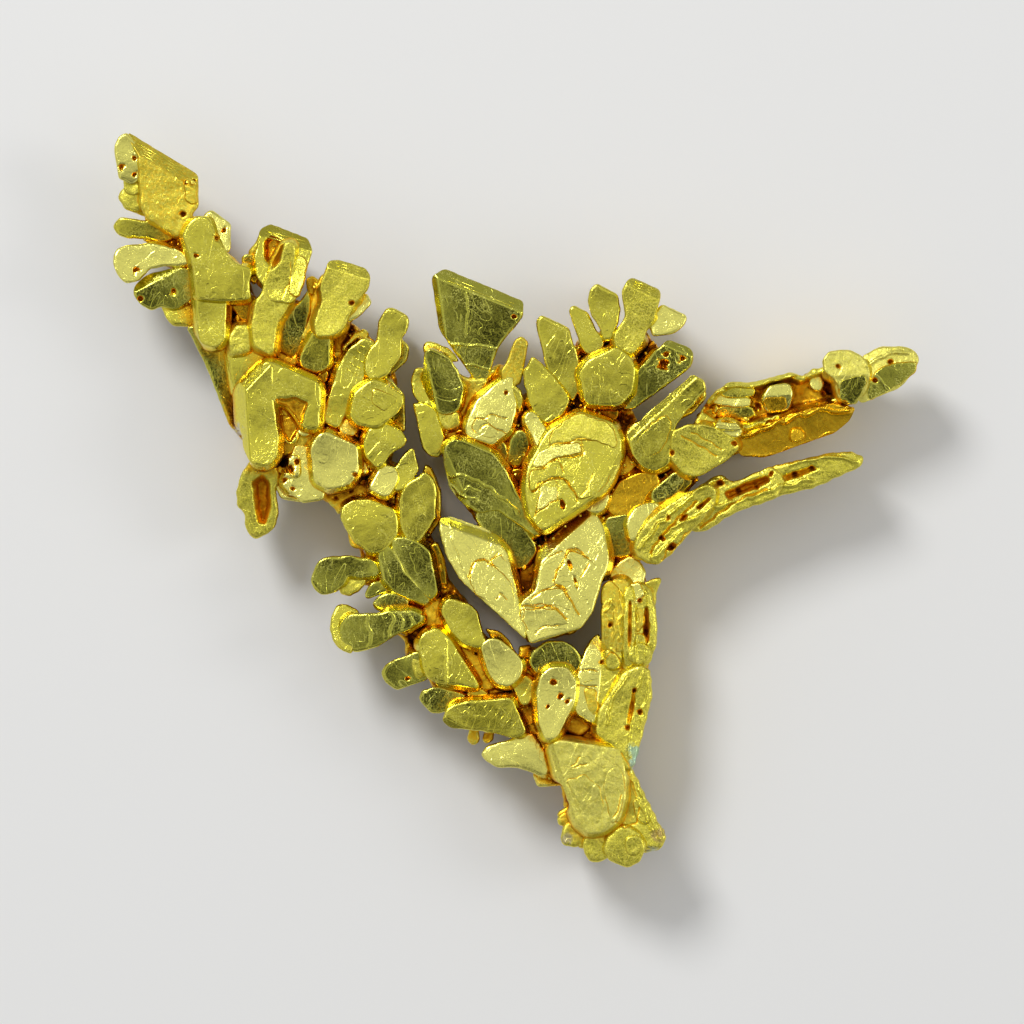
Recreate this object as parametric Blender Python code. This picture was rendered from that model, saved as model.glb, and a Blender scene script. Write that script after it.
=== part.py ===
"""A crystallised gold nugget, lying on its back: a spray of flat crystals grown together into one piece.

The face that shows the crystals points to +Z, the crest of the spray to +Y and the two arms to +X.
Run with: blender --background --python part.py
"""

import random

import bmesh
import bpy
from mathutils import Vector

# Driving dimensions, in metres.
WIDTH = 0.050  # tip of the left branch to tip of the upper arm
BEVEL = 0.00022  # the bevel round the face of each crystal, seen from above
BEVEL_DROP = 0.0002  # how far the bevel falls
UNDERCUT = 0.00028  # how far a crystal narrows from its bevel down to its back
BROAD = 0.9e-6  # the area, in square metres, from which a crystal has a bevel
NARROW_SHARE = 0.6  # the most that a narrow outline is drawn in, as a share of its area over its length

# Outlines are drawn on a grid laid over the specimen: x to the right and y down, as on a drawing sheet.
GRID_WIDTH = 808.0  # the specimen's width in grid steps
GRID = WIDTH / GRID_WIDTH
GRID_CENTRE = (516.0, 499.5)  # middle of the specimen's box on the grid
MM = 0.001

# Slopes of a face, as rise to the right and rise towards the crest.
LEVEL = (0.0, 0.0)
TO_FOOT = (0.02, 0.12)  # the face looks down the specimen
TO_CREST = (0.0, -0.10)  # the face looks up the specimen
JITTER = 0.03  # each crystal's own slope on top of those
DICE = random.Random(7)

GROWN = []  # the crystals and beds, before they are joined
HOLLOWS = []  # the shapes that are cut out of them


def clear_scene():
    """Removes the objects of the startup file."""
    for old in list(bpy.data.objects):
        bpy.data.objects.remove(old)


def on_sheet(outline):
    """Grid points as metres from the specimen's centre, counter-clockwise."""
    points = [
        Vector(((x - GRID_CENTRE[0]) * GRID, (GRID_CENTRE[1] - y) * GRID)) for x, y in outline
    ]
    return points if signed_area(points) > 0 else points[::-1]


def signed_area(points):
    """The area of a closed outline, positive when it runs counter-clockwise."""
    return sum(a.cross(b) for a, b in zip(points, points[1:] + points[:1])) / 2


def middle_of(points):
    """The area centroid of a closed outline."""
    total = Vector((0.0, 0.0))
    for a, b in zip(points, points[1:] + points[:1]):
        total += (a + b) * a.cross(b)
    return total / (6.0 * signed_area(points))


def inset(points, amount):
    """The outline drawn in by an equal amount on every side, or by less where it is narrow."""
    around = sum((b - a).length for a, b in zip(points, points[1:] + points[:1]))
    amount = min(amount, NARROW_SHARE * signed_area(points) / around)
    drawn_in = []
    for before, point, after in zip(points[-1:] + points[:-1], points, points[1:] + points[:1]):
        inward_1 = (point - before).normalized().orthogonal()
        inward_2 = (after - point).normalized().orthogonal()
        corner = (inward_1 + inward_2) / max(1.0 + inward_1.dot(inward_2), 0.5)
        drawn_in.append(point + corner * amount)
    return drawn_in


def loft(name, rings):
    """A closed mesh object through rings of the same number of corners, from the bottom ring to the top one."""
    shape = bmesh.new()
    loops = [[shape.verts.new(corner) for corner in ring] for ring in rings]
    count = len(loops[0])
    for lower, upper in zip(loops, loops[1:]):
        for i in range(count):
            j = (i + 1) % count
            shape.faces.new((lower[i], lower[j], upper[j], upper[i]))
    shape.faces.new(loops[0][::-1])
    shape.faces.new(loops[-1])
    mesh = bpy.data.meshes.new(name)
    shape.to_mesh(mesh)
    shape.free()
    return bpy.data.objects.new(name, mesh)


def crystal(name, top, bottom, slope, outline):
    """One flat crystal: a bevelled face at height top, and sides down to bottom, both in millimetres."""
    belt = on_sheet(outline)
    middle = middle_of(belt)
    right = slope[0] + DICE.uniform(-JITTER, JITTER)
    up = slope[1] + DICE.uniform(-JITTER, JITTER)

    def face_height(point):
        return top * MM + right * (point.x - middle.x) + up * (point.y - middle.y)

    back = [(*p, bottom * MM) for p in inset(belt, UNDERCUT)]
    if signed_area(belt) < BROAD:
        rings = [back, [(*p, face_height(p)) for p in belt]]
    else:
        side = [(*p, face_height(p) - BEVEL_DROP) for p in belt]
        rings = [back, side, [(*p, face_height(p)) for p in inset(belt, BEVEL)]]
    GROWN.append(loft(name, rings))


def bed(name, top, bottom, outline):
    """The gold that the crystals stand on, as one flat plate between two heights in millimetres."""
    edge = on_sheet(outline)
    GROWN.append(loft(name, [[(*p, z * MM) for p in edge] for z in (bottom, top)]))


def hollow(name, floor, rim, outline):
    """A trough or cup cut from above, with sloping sides between two heights in millimetres."""
    mouth = on_sheet(outline)
    above = rim + 3.0
    rings = [[(*p, floor * MM) for p in inset(mouth, 2 * BEVEL)]]
    rings += [[(*p, z * MM) for p in mouth] for z in (rim, above)]
    HOLLOWS.append(loft(name, rings))


clear_scene()

# Beds: the trunk and the limbs that carry the crystals.
bed("bed_tip", 4.4, 2.3, [
    (150, 222), (186, 224), (214, 238), (246, 268), (256, 300), (252, 352), (222, 354), (192, 326),
    (172, 300), (168, 262)])
bed("bed_left", 4.3, 2.0, [
    (236, 340), (262, 292), (300, 300), (330, 296), (352, 322), (388, 350), (398, 380), (392, 462),
    (412, 470), (428, 500), (426, 535), (396, 548), (356, 530), (338, 508), (280, 484), (244, 440)])
bed("bed_lower_left", 4.2, 1.9, [
    (356, 520), (426, 520), (450, 580), (470, 604), (484, 634), (532, 664), (530, 720), (500, 728),
    (440, 704), (428, 680), (404, 676), (404, 640), (378, 626), (392, 600), (362, 585)])
bed("bed_centre", 4.4, 1.8, [
    (422, 396), (440, 400), (474, 372), (502, 362), (520, 396), (556, 372), (578, 338), (606, 330),
    (644, 328), (664, 352), (654, 376), (628, 398), (640, 424), (690, 452), (700, 480), (660, 524),
    (640, 566), (602, 584), (576, 634), (528, 644), (500, 606), (462, 566), (446, 534), (478, 526),
    (450, 484), (440, 452), (426, 446)])
bed("bed_trunk", 4.3, 1.6, [
    (520, 648), (534, 646), (584, 656), (606, 640), (610, 570), (644, 568), (652, 600), (648, 700),
    (628, 760), (640, 810), (630, 850), (590, 850), (566, 822), (560, 784), (520, 764), (508, 730),
    (524, 700)])
bed("bed_upper_arm", 4.4, 2.0, [
    (668, 440), (700, 418), (726, 394), (826, 374), (880, 360), (900, 370), (820, 426), (770, 448),
    (684, 466)])
bed("bed_lower_arm", 4.4, 2.6, [
    (640, 544), (664, 516), (712, 490), (846, 460), (850, 466), (744, 500), (700, 526), (662, 556)])

# Left branch, from its tip inwards.
crystal("tip_blade", 5.6, 4.0, TO_CREST, [
    (127, 131), (198, 174), (199, 206), (178, 236), (143, 215), (139, 152)])
crystal("tip_lobe", 5.4, 3.8, LEVEL, [
    (127, 131), (141, 152), (139, 178), (131, 184), (118, 179), (113, 146), (118, 136)])
crystal("tip_knob", 5.1, 3.8, LEVEL, [
    (127, 185), (139, 184), (143, 206), (138, 214), (124, 209), (117, 198), (119, 190)])
crystal("tip_finger", 5.0, 3.4, TO_FOOT, [
    (119, 216), (160, 222), (176, 233), (168, 240), (124, 238), (115, 233), (112, 225)])
crystal("tip_sliver", 4.5, 3.0, TO_FOOT, [(140, 238), (168, 238), (190, 248), (184, 256), (158, 250)])
crystal("fist", 5.7, 3.4, TO_CREST, [
    (124, 245), (148, 243), (178, 251), (190, 262), (150, 269), (138, 281), (126, 284), (118, 277),
    (112, 262), (115, 250)])
crystal("fan_face", 5.2, 3.0, TO_FOOT, [
    (134, 285), (148, 273), (168, 269), (190, 270), (192, 298), (176, 307), (160, 307), (151, 311),
    (139, 304), (132, 294)])
crystal("skirt", 4.7, 2.6, TO_CREST, [(160, 305), (198, 300), (200, 327), (172, 326), (165, 318)])
crystal("stem_head", 6.4, 0.0, LEVEL, [
    (184, 235), (196, 215), (208, 217), (216, 240), (236, 262), (250, 270), (251, 298), (224, 300),
    (198, 298), (193, 260)])
crystal("stem_shaft", 6.2, 0.8, LEVEL, [(197, 296), (225, 298), (224, 340), (215, 347), (200, 342)])
crystal("side_nub", 5.9, 4.0, TO_CREST, [
    (203, 214), (211, 209), (231, 223), (231, 252), (222, 252), (208, 236)])
crystal("leaf_bud", 5.4, 3.0, TO_FOOT, [(240, 258), (246, 253), (257, 259), (259, 275), (254, 286)])
crystal("notch_gem", 5.2, 2.0, TO_FOOT, [(228, 299), (250, 299), (252, 320), (243, 320)])
crystal("hook", 6.0, 2.0, LEVEL, [(230, 336), (237, 326), (247, 325), (251, 333), (249, 352), (231, 355)])
crystal("pane", 5.6, 1.5, LEVEL, [(228, 350), (262, 352), (268, 362), (236, 395)])
crystal("hull", 4.6, 2.6, TO_FOOT, [
    (186, 327), (199, 328), (232, 352), (242, 395), (243, 442), (228, 425), (206, 368)])

# Crest of the left branch.
crystal("crest_one", 6.0, 4.0, TO_CREST, [
    (260, 229), (270, 223), (308, 238), (313, 250), (300, 296), (290, 302), (272, 300), (258, 278),
    (256, 245)])
crystal("crest_one_body", 6.3, 1.2, LEVEL, [
    (284, 245), (294, 243), (291, 300), (276, 324), (272, 354), (256, 346), (253, 326), (257, 300)])
crystal("crest_leaf", 5.4, 1.6, TO_FOOT, [
    (308, 289), (309, 312), (299, 348), (291, 360), (277, 348), (274, 337)])
crystal("crest_rib", 5.0, 3.4, LEVEL, [(305, 279), (312, 274), (319, 280), (318, 300), (309, 314)])
crystal("crest_two", 6.4, 4.2, LEVEL, [
    (328, 261), (337, 259), (366, 268), (371, 276), (369, 290), (353, 303), (347, 322), (336, 334),
    (317, 336), (316, 322), (324, 300), (321, 282)])
crystal("crest_two_spur", 5.8, 4.2, TO_CREST, [(366, 292), (373, 302), (358, 319), (346, 322), (347, 308)])
crystal("crest_two_foot", 5.9, 1.3, TO_FOOT, [
    (314, 332), (329, 335), (328, 366), (317, 372), (302, 367), (301, 356)])
crystal("crest_three", 5.9, 1.5, LEVEL, [
    (378, 320), (386, 308), (393, 307), (409, 316), (409, 329), (402, 339), (400, 358), (389, 373),
    (372, 380), (366, 370), (367, 357), (376, 342)])
crystal("crest_three_ear", 5.2, 3.8, TO_FOOT, [(400, 337), (410, 346), (408, 360), (394, 373), (384, 378)])
crystal("strut", 5.8, 1.0, LEVEL, [
    (350, 350), (366, 337), (375, 343), (365, 362), (361, 385), (337, 427), (323, 420), (340, 366)])
crystal("strut_head", 5.2, 3.6, TO_CREST, [
    (343, 348), (354, 334), (364, 327), (370, 334), (362, 347), (348, 360)])

# Middle of the left branch.
crystal("slab", 7.0, 0.0, LEVEL, [
    (239, 390), (262, 366), (272, 365), (272, 398), (278, 440), (276, 457), (266, 466), (250, 462),
    (243, 448)])
crystal("slab_arm", 6.9, 1.0, LEVEL, [
    (264, 364), (271, 363), (318, 384), (320, 394), (318, 428), (306, 428), (290, 405), (266, 398)])
crystal("slab_floor", 5.9, 0.9, TO_FOOT, [(268, 392), (317, 398), (318, 432), (298, 452), (276, 454)])
crystal("step_block", 6.6, 0.6, LEVEL, [
    (312, 448), (318, 437), (326, 433), (356, 447), (358, 470), (349, 484), (328, 488), (316, 482)])
crystal("ledge", 6.0, 1.3, LEVEL, [(296, 445), (316, 450), (324, 500), (302, 504), (283, 484)])
crystal("ledge_corner", 5.1, 3.0, TO_CREST, [(278, 472), (296, 478), (302, 503), (280, 499), (276, 488)])
crystal("bridge", 5.1, 1.2, TO_CREST, [
    (316, 488), (360, 484), (396, 498), (398, 514), (345, 512), (338, 515)])
crystal("kite_upper", 6.5, 0.9, LEVEL, [
    (356, 393), (371, 382), (378, 382), (403, 393), (405, 402), (402, 408), (378, 427), (358, 424),
    (351, 415)])
crystal("kite_lower", 6.4, 1.3, LEVEL, [
    (365, 441), (370, 429), (382, 424), (403, 432), (408, 440), (405, 446), (394, 452), (378, 467),
    (367, 456)])
crystal("kite_back", 5.4, 3.6, TO_FOOT, [
    (381, 378), (392, 381), (405, 394), (406, 432), (388, 430), (378, 400)])
crystal("pale_wedge", 6.2, 2.0, TO_CREST, [(382, 466), (395, 466), (397, 480), (387, 496), (370, 488)])
crystal("dart", 5.9, 1.4, LEVEL, [(395, 490), (393, 471), (402, 455), (413, 446), (420, 470), (407, 486)])
crystal("thumb", 5.2, 2.8, TO_FOOT, [
    (250, 460), (268, 462), (278, 472), (276, 488), (279, 514), (275, 528), (262, 538), (253, 540),
    (245, 530), (243, 512), (236, 507), (236, 488), (241, 472)])

# Foot end of the left branch.
crystal("saddle", 6.0, 0.8, LEVEL, [
    (341, 509), (354, 501), (372, 501), (394, 511), (397, 522), (396, 535), (384, 550), (370, 552),
    (354, 543), (340, 520)])
crystal("saddle_lip", 4.8, 3.4, TO_CREST, [(345, 526), (360, 536), (368, 552), (350, 547)])
crystal("oval", 6.1, 1.0, LEVEL, [
    (401, 498), (407, 486), (424, 471), (434, 478), (438, 492), (436, 514), (430, 529), (418, 541),
    (409, 540), (402, 526)])
crystal("oval_back", 5.0, 3.4, TO_FOOT, [
    (424, 463), (432, 467), (442, 492), (441, 520), (430, 537), (418, 500)])
crystal("pod_left", 5.8, 1.1, TO_FOOT, [
    (382, 543), (394, 552), (404, 572), (430, 600), (424, 605), (396, 592), (384, 579), (380, 560)])
crystal("pod_right", 5.9, 1.3, TO_FOOT, [
    (393, 540), (404, 538), (421, 545), (429, 553), (437, 592), (431, 600), (414, 582), (393, 550)])
crystal("green_sliver", 5.0, 1.6, TO_FOOT, [(430, 546), (437, 540), (446, 562), (448, 586), (436, 580)])
crystal("bead", 5.5, 3.2, LEVEL, [
    (318, 560), (328, 556), (352, 555), (374, 562), (378, 574), (362, 577), (348, 574), (338, 592),
    (322, 596), (313, 589), (310, 578)])
crystal("bead_low", 5.2, 3.4, LEVEL, [
    (344, 574), (356, 571), (366, 580), (362, 590), (351, 597), (340, 595), (338, 584)])
crystal("curl", 5.2, 3.6, LEVEL, [(364, 597), (366, 589), (374, 583), (390, 582), (388, 590), (368, 600)])
crystal("pebble", 5.3, 3.2, TO_FOOT, [
    (371, 603), (380, 595), (398, 595), (408, 601), (405, 609), (386, 612), (375, 610)])
crystal("paddle", 5.9, 1.8, TO_FOOT, [
    (340, 632), (344, 621), (354, 613), (414, 612), (424, 618), (378, 647), (357, 653), (345, 649)])
crystal("paddle_horn", 5.4, 3.6, TO_CREST, [
    (329, 628), (331, 615), (337, 604), (347, 604), (360, 611), (352, 655), (340, 650), (333, 642)])
crystal("finger_low", 5.4, 1.6, TO_FOOT, [
    (380, 673), (385, 665), (396, 658), (419, 653), (428, 664), (428, 680), (396, 691), (385, 683)])
crystal("lozenge", 6.0, 1.0, LEVEL, [
    (419, 642), (425, 633), (436, 629), (447, 637), (479, 687), (428, 680)])
crystal("shoe", 5.2, 3.2, TO_FOOT, [
    (418, 700), (421, 690), (436, 687), (464, 696), (462, 706), (440, 714), (431, 714)])
crystal("ploughshare", 6.0, 1.2, TO_FOOT, [
    (441, 720), (447, 709), (463, 703), (511, 699), (525, 732), (512, 738), (490, 732), (449, 728)])
crystal("stud_left", 4.8, 3.4, TO_CREST, [(466, 740), (470, 728), (478, 728), (481, 741), (473, 747)])
crystal("stud_right", 4.6, 3.3, TO_CREST, [(481, 740), (485, 728), (495, 730), (494, 742), (485, 745)])
crystal("plough", 5.6, 1.0, LEVEL, [
    (480, 754), (487, 745), (533, 734), (542, 750), (549, 772), (541, 776), (517, 768), (497, 768),
    (485, 761)])
crystal("plough_tail", 4.7, 2.8, TO_CREST, [(532, 774), (546, 764), (566, 786), (537, 788)])
crystal("bean", 6.1, 0.8, LEVEL, [
    (442, 610), (448, 600), (468, 602), (478, 611), (486, 642), (478, 647), (465, 643), (452, 630)])
crystal("bean_low", 6.2, 0.6, LEVEL, [
    (482, 646), (489, 637), (505, 642), (517, 652), (522, 666), (518, 678), (508, 685), (497, 682),
    (490, 672)])
crystal("bean_back", 5.0, 2.0, TO_FOOT, [(484, 628), (498, 630), (508, 638), (517, 654), (498, 650)])
crystal("tooth", 5.6, 1.6, LEVEL, [(512, 680), (524, 676), (534, 684), (532, 700), (523, 705)])
crystal("pip", 5.3, 2.6, LEVEL, [(468, 693), (478, 689), (487, 694), (484, 702), (470, 702)])

# Centre fan.
crystal("crown_blade", 5.6, 4.0, TO_FOOT, [
    (431, 277), (444, 268), (524, 301), (523, 318), (500, 345), (486, 381), (476, 383), (439, 330)])
crystal("bract", 5.8, 1.6, TO_FOOT, [
    (424, 352), (430, 349), (449, 358), (459, 370), (462, 388), (459, 406), (453, 413), (440, 413),
    (432, 406), (423, 366)])
crystal("bract_cap", 5.2, 3.6, TO_CREST, [
    (422, 350), (423, 343), (429, 340), (450, 348), (460, 362), (428, 360)])
crystal("bract_side", 5.2, 3.6, LEVEL, [
    (410, 379), (415, 367), (424, 367), (434, 412), (424, 408), (412, 395)])
crystal("long_leaf", 5.6, 1.5, LEVEL, [
    (412, 402), (422, 403), (434, 411), (443, 440), (440, 458), (430, 457), (422, 449)])
crystal("book", 5.9, 0.8, TO_CREST, [
    (500, 382), (513, 375), (515, 408), (509, 430), (492, 444), (467, 435), (467, 424), (476, 402)])
crystal("finger_tip", 5.4, 3.2, LEVEL, [
    (514, 340), (522, 335), (529, 342), (521, 384), (508, 388), (502, 372)])
crystal("shard", 6.2, 3.0, TO_CREST, [
    (525, 418), (530, 413), (535, 415), (546, 432), (544, 446), (539, 447)])
crystal("eye_small", 5.4, 2.6, TO_FOOT, [
    (495, 445), (500, 441), (505, 446), (506, 459), (500, 463), (495, 458)])
crystal("eye_large", 5.5, 2.6, TO_FOOT, [
    (512, 438), (520, 430), (528, 438), (528, 450), (520, 466), (507, 464)])
crystal("eye_low", 5.2, 2.4, TO_FOOT, [(507, 472), (521, 470), (521, 481), (510, 481)])
crystal("big_leaf", 6.2, 1.0, TO_FOOT, [
    (443, 460), (446, 448), (453, 441), (462, 442), (493, 455), (504, 470), (538, 536), (497, 508),
    (478, 512), (463, 505), (449, 488)])
crystal("big_leaf_low", 5.7, 1.2, TO_FOOT, [
    (474, 518), (484, 503), (497, 506), (520, 522), (534, 545), (535, 553), (526, 566), (515, 568)])
crystal("wing_left", 6.6, 0.8, TO_CREST, [
    (438, 528), (441, 518), (450, 516), (476, 525), (493, 537), (506, 553), (526, 640), (460, 580),
    (446, 556)])
crystal("wing_right", 6.8, 0.0, TO_CREST, [
    (583, 514), (595, 515), (603, 528), (608, 560), (594, 610), (582, 628), (530, 644), (521, 625),
    (522, 603), (536, 592), (545, 550), (563, 530)])
crystal("shell", 6.9, 0.8, TO_CREST, [
    (548, 432), (580, 413), (614, 425), (620, 441), (619, 458), (610, 480), (601, 492), (543, 530),
    (531, 515), (526, 490), (529, 466)])
crystal("lobe_a", 5.7, 4.0, LEVEL, [
    (535, 322), (541, 314), (570, 328), (580, 375), (579, 388), (571, 401), (546, 368)])
crystal("lobe_b", 5.9, 1.2, LEVEL, [
    (523, 373), (532, 355), (541, 362), (569, 399), (562, 413), (548, 422), (537, 415), (524, 386)])
crystal("lobe_c", 5.6, 4.0, LEVEL, [
    (568, 310), (573, 304), (588, 312), (603, 343), (598, 353), (588, 353), (578, 339)])
crystal("lobe_d", 5.9, 4.1, LEVEL, [
    (587, 300), (590, 288), (597, 283), (618, 294), (621, 310), (618, 326), (607, 341), (591, 315)])
crystal("lobe_e", 6.2, 1.4, LEVEL, [
    (621, 292), (626, 281), (632, 277), (661, 290), (660, 302), (645, 336), (632, 353), (616, 346),
    (616, 332), (625, 317)])
crystal("lobe_e_knob", 5.8, 4.0, TO_CREST, [
    (648, 322), (662, 303), (688, 316), (685, 326), (672, 335), (652, 337)])
crystal("hexagon", 6.4, 0.9, LEVEL, [
    (580, 373), (587, 362), (617, 348), (631, 360), (634, 372), (631, 392), (619, 405), (587, 403)])
crystal("holed_leaf", 6.0, 3.6, TO_FOOT, [
    (667, 339), (689, 347), (694, 354), (693, 364), (686, 372), (632, 411), (620, 405), (641, 369)])
crystal("broad_leaf", 6.5, 1.1, TO_FOOT, [
    (628, 436), (645, 415), (693, 374), (705, 381), (707, 391), (698, 397), (676, 426), (668, 463),
    (656, 470), (643, 466), (633, 453)])
crystal("broad_side", 5.6, 3.4, LEVEL, [
    (705, 385), (707, 398), (694, 413), (678, 421), (684, 402), (694, 389)])
crystal("gem_upper", 5.2, 1.8, TO_FOOT, [(592, 410), (604, 402), (619, 403), (616, 418), (602, 420)])
crystal("gem_side", 5.3, 1.8, LEVEL, [(616, 457), (632, 449), (636, 463), (626, 473), (611, 474)])
crystal("amber", 5.6, 1.2, TO_FOOT, [
    (609, 501), (620, 483), (635, 475), (655, 473), (659, 483), (646, 493), (640, 511), (622, 517),
    (610, 511)])
crystal("pale_shard", 6.0, 2.0, TO_CREST, [
    (583, 503), (600, 490), (608, 495), (605, 506), (598, 512), (588, 509)])
crystal("cell_dark", 5.4, 2.0, TO_FOOT, [
    (607, 519), (628, 516), (633, 540), (632, 553), (616, 557), (606, 549)])
crystal("cell_right", 5.7, 2.6, TO_FOOT, [
    (652, 493), (675, 473), (691, 478), (693, 485), (668, 501), (654, 503)])
crystal("pearl", 6.0, 2.4, TO_CREST, [
    (627, 521), (636, 508), (650, 503), (661, 506), (658, 520), (632, 541)])

# Upper arm.
crystal("arm_root", 6.5, 0.8, LEVEL, [
    (673, 430), (690, 423), (716, 430), (733, 440), (738, 449), (730, 459), (699, 477), (685, 473),
    (672, 459)])
crystal("arm_keel", 5.8, 0.0, TO_FOOT, [
    (735, 440), (792, 415), (830, 405), (856, 407), (850, 421), (835, 433), (765, 458), (740, 456)])
crystal("arm_crest", 5.4, 1.2, LEVEL, [
    (712, 393), (730, 381), (752, 382), (791, 371), (803, 376), (813, 368), (826, 366), (842, 380),
    (846, 398), (830, 408), (790, 418), (740, 436), (692, 424)])
crystal("arm_button", 6.4, 4.6, TO_CREST, [
    (714, 427), (722, 421), (735, 424), (741, 431), (736, 437), (724, 434)])
crystal("arm_bump", 5.9, 4.4, TO_CREST, [
    (764, 397), (770, 387), (788, 385), (792, 392), (786, 408), (768, 410)])
crystal("arm_knuckle", 6.4, 1.6, TO_CREST, [
    (821, 361), (828, 351), (848, 349), (863, 356), (869, 373), (856, 406), (842, 398), (837, 379),
    (824, 370)])
crystal("arm_tip", 6.0, 3.0, TO_CREST, [
    (862, 356), (880, 346), (905, 346), (916, 351), (920, 360), (912, 375), (900, 388), (861, 404),
    (856, 396), (864, 380)])

# Lower arm.
crystal("lower_root", 6.4, 1.2, LEVEL, [
    (634, 547), (640, 532), (652, 518), (704, 482), (716, 490), (712, 506), (673, 554), (657, 566),
    (642, 562)])
crystal("lower_mid", 6.0, 1.8, LEVEL, [
    (702, 484), (711, 477), (722, 474), (733, 482), (772, 465), (785, 480), (778, 498), (735, 513),
    (706, 532), (690, 532)])
crystal("lower_end", 5.8, 2.8, LEVEL, [
    (768, 467), (830, 452), (853, 451), (865, 457), (863, 466), (815, 488), (774, 498)])

# Right column.
crystal("neck", 5.4, 1.4, TO_CREST, [
    (608, 577), (617, 566), (630, 557), (643, 564), (647, 573), (642, 586)])
crystal("column_left", 6.3, 1.0, LEVEL, [
    (600, 607), (612, 580), (625, 580), (631, 590), (625, 650), (612, 652), (601, 640)])
crystal("column_right", 6.1, 1.6, LEVEL, [
    (629, 592), (640, 583), (651, 590), (657, 612), (658, 640), (651, 663), (640, 671), (624, 670)])
crystal("column_ear", 5.4, 3.4, LEVEL, [
    (643, 584), (651, 578), (660, 577), (662, 581), (657, 592), (656, 608)])
crystal("column_low", 6.3, 0.9, LEVEL, [
    (597, 733), (599, 712), (624, 673), (640, 666), (651, 669), (653, 695), (635, 766), (628, 771),
    (618, 748)])
crystal("blade_left", 6.0, 1.2, TO_CREST, [
    (584, 649), (592, 637), (600, 633), (602, 660), (594, 723), (577, 712), (574, 700)])
crystal("blade_right", 5.9, 1.6, TO_CREST, [
    (600, 662), (610, 648), (621, 655), (620, 672), (601, 712), (598, 692)])
crystal("dome", 5.8, 1.6, TO_FOOT, [
    (530, 663), (534, 649), (546, 641), (562, 640), (573, 645), (581, 655), (579, 669), (565, 675),
    (540, 675)])
crystal("cushion", 6.5, 0.9, LEVEL, [
    (538, 692), (542, 676), (550, 668), (566, 668), (575, 680), (574, 700), (556, 736), (547, 739),
    (540, 722)])

# Foot.
crystal("foot_plate", 6.6, 0.0, LEVEL, [
    (551, 746), (560, 741), (620, 750), (625, 766), (624, 800), (618, 820), (605, 830), (590, 833),
    (578, 825), (558, 775)])
crystal("foot_flank", 5.8, 1.4, LEVEL, [
    (616, 746), (634, 771), (667, 838), (661, 850), (642, 850), (614, 832), (624, 800)])
crystal("lump_a", 5.2, 2.6, LEVEL, [(555, 815), (566, 806), (575, 810), (580, 830), (566, 829)])
crystal("lump_b", 5.6, 2.2, LEVEL, [
    (559, 838), (563, 826), (574, 822), (588, 832), (586, 847), (572, 848), (562, 845)])
crystal("lump_c", 5.9, 1.8, LEVEL, [
    (582, 850), (587, 836), (600, 829), (611, 840), (611, 856), (600, 863), (589, 862)])
crystal("lump_d", 6.2, 1.4, LEVEL, [
    (604, 850), (609, 835), (622, 826), (640, 834), (646, 848), (641, 862), (628, 868), (613, 863)])
crystal("lump_e", 5.4, 2.4, LEVEL, [(638, 834), (652, 826), (664, 828), (667, 839), (661, 850), (643, 854)])

# Hollows: troughs along the arms, and cups where a crystal grew faster at its rim than at its middle.
hollow("arm_trough_near", 4.0, 5.5, [(716, 404), (738, 390), (760, 392), (762, 412), (742, 422), (728, 417)])
hollow("arm_trough_far", 4.0, 5.5, [(796, 388), (818, 386), (838, 398), (826, 405), (796, 411)])
hollow("lower_trough_near", 4.7, 6.0, [(722, 492), (745, 481), (768, 474), (772, 482), (748, 493), (728, 501)])
hollow("lower_trough_far", 4.7, 5.8, [(780, 475), (812, 465), (822, 468), (800, 478), (784, 483)])
hollow("lower_slit", 5.4, 6.4, [(694, 508), (708, 496), (713, 500), (700, 513)])
hollow("lower_cup", 5.5, 6.4, [(675, 521), (683, 511), (692, 513), (684, 524)])
hollow("thumb_cup", 4.1, 5.2, [(250, 482), (262, 472), (271, 482), (272, 508), (266, 526), (256, 524)])
hollow("crest_cup", 5.2, 6.0, [(264, 240), (272, 234), (284, 242), (280, 262), (272, 272), (264, 258)])
hollow("leaf_hole", 4.9, 6.0, [(657, 361), (664, 356), (670, 362), (665, 370), (658, 369)])


def boolean(target, operation, helpers):
    """Unions the helpers with the target, or cuts them out of it."""
    group = bpy.data.collections.new(operation.lower())
    bpy.context.scene.collection.children.link(group)
    for helper in helpers:
        group.objects.link(helper)
        helper.hide_render = True
        helper.display_type = "WIRE"
    modifier = target.modifiers.new(operation.lower(), "BOOLEAN")
    modifier.operation = operation
    modifier.operand_type = "COLLECTION"
    modifier.collection = group
    modifier.solver = "EXACT"


def islands_of(shape):
    """The faces of a bmesh, in sets that hang together by their edges."""
    left = set(shape.faces)
    islands = []
    while left:
        island, edge_of_it = set(), [left.pop()]
        while edge_of_it:
            face = edge_of_it.pop()
            island.add(face)
            for edge in face.edges:
                for other in edge.link_faces:
                    if other in left:
                        left.remove(other)
                        edge_of_it.append(other)
        islands.append(island)
    return islands


def without_pockets(target):
    """The target's finished mesh, less the skins of the pockets that the crystals seal in between them."""
    graph = bpy.context.evaluated_depsgraph_get()
    mesh = bpy.data.meshes.new_from_object(target.evaluated_get(graph))
    shape = bmesh.new()
    shape.from_mesh(mesh)
    islands = sorted(islands_of(shape), key=len)
    for pocket in islands[:-1]:
        bmesh.ops.delete(shape, geom=list(pocket), context="FACES")
    shape.to_mesh(mesh)
    shape.free()
    return mesh


def gold():
    """The colour of native gold."""
    made = bpy.data.materials.new("gold")
    made.use_nodes = True
    shader = made.node_tree.nodes["Principled BSDF"]
    shader.inputs["Base Color"].default_value = (0.90, 0.70, 0.20, 1.0)
    shader.inputs["Metallic"].default_value = 1.0
    shader.inputs["Roughness"].default_value = 0.25
    return made


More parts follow.
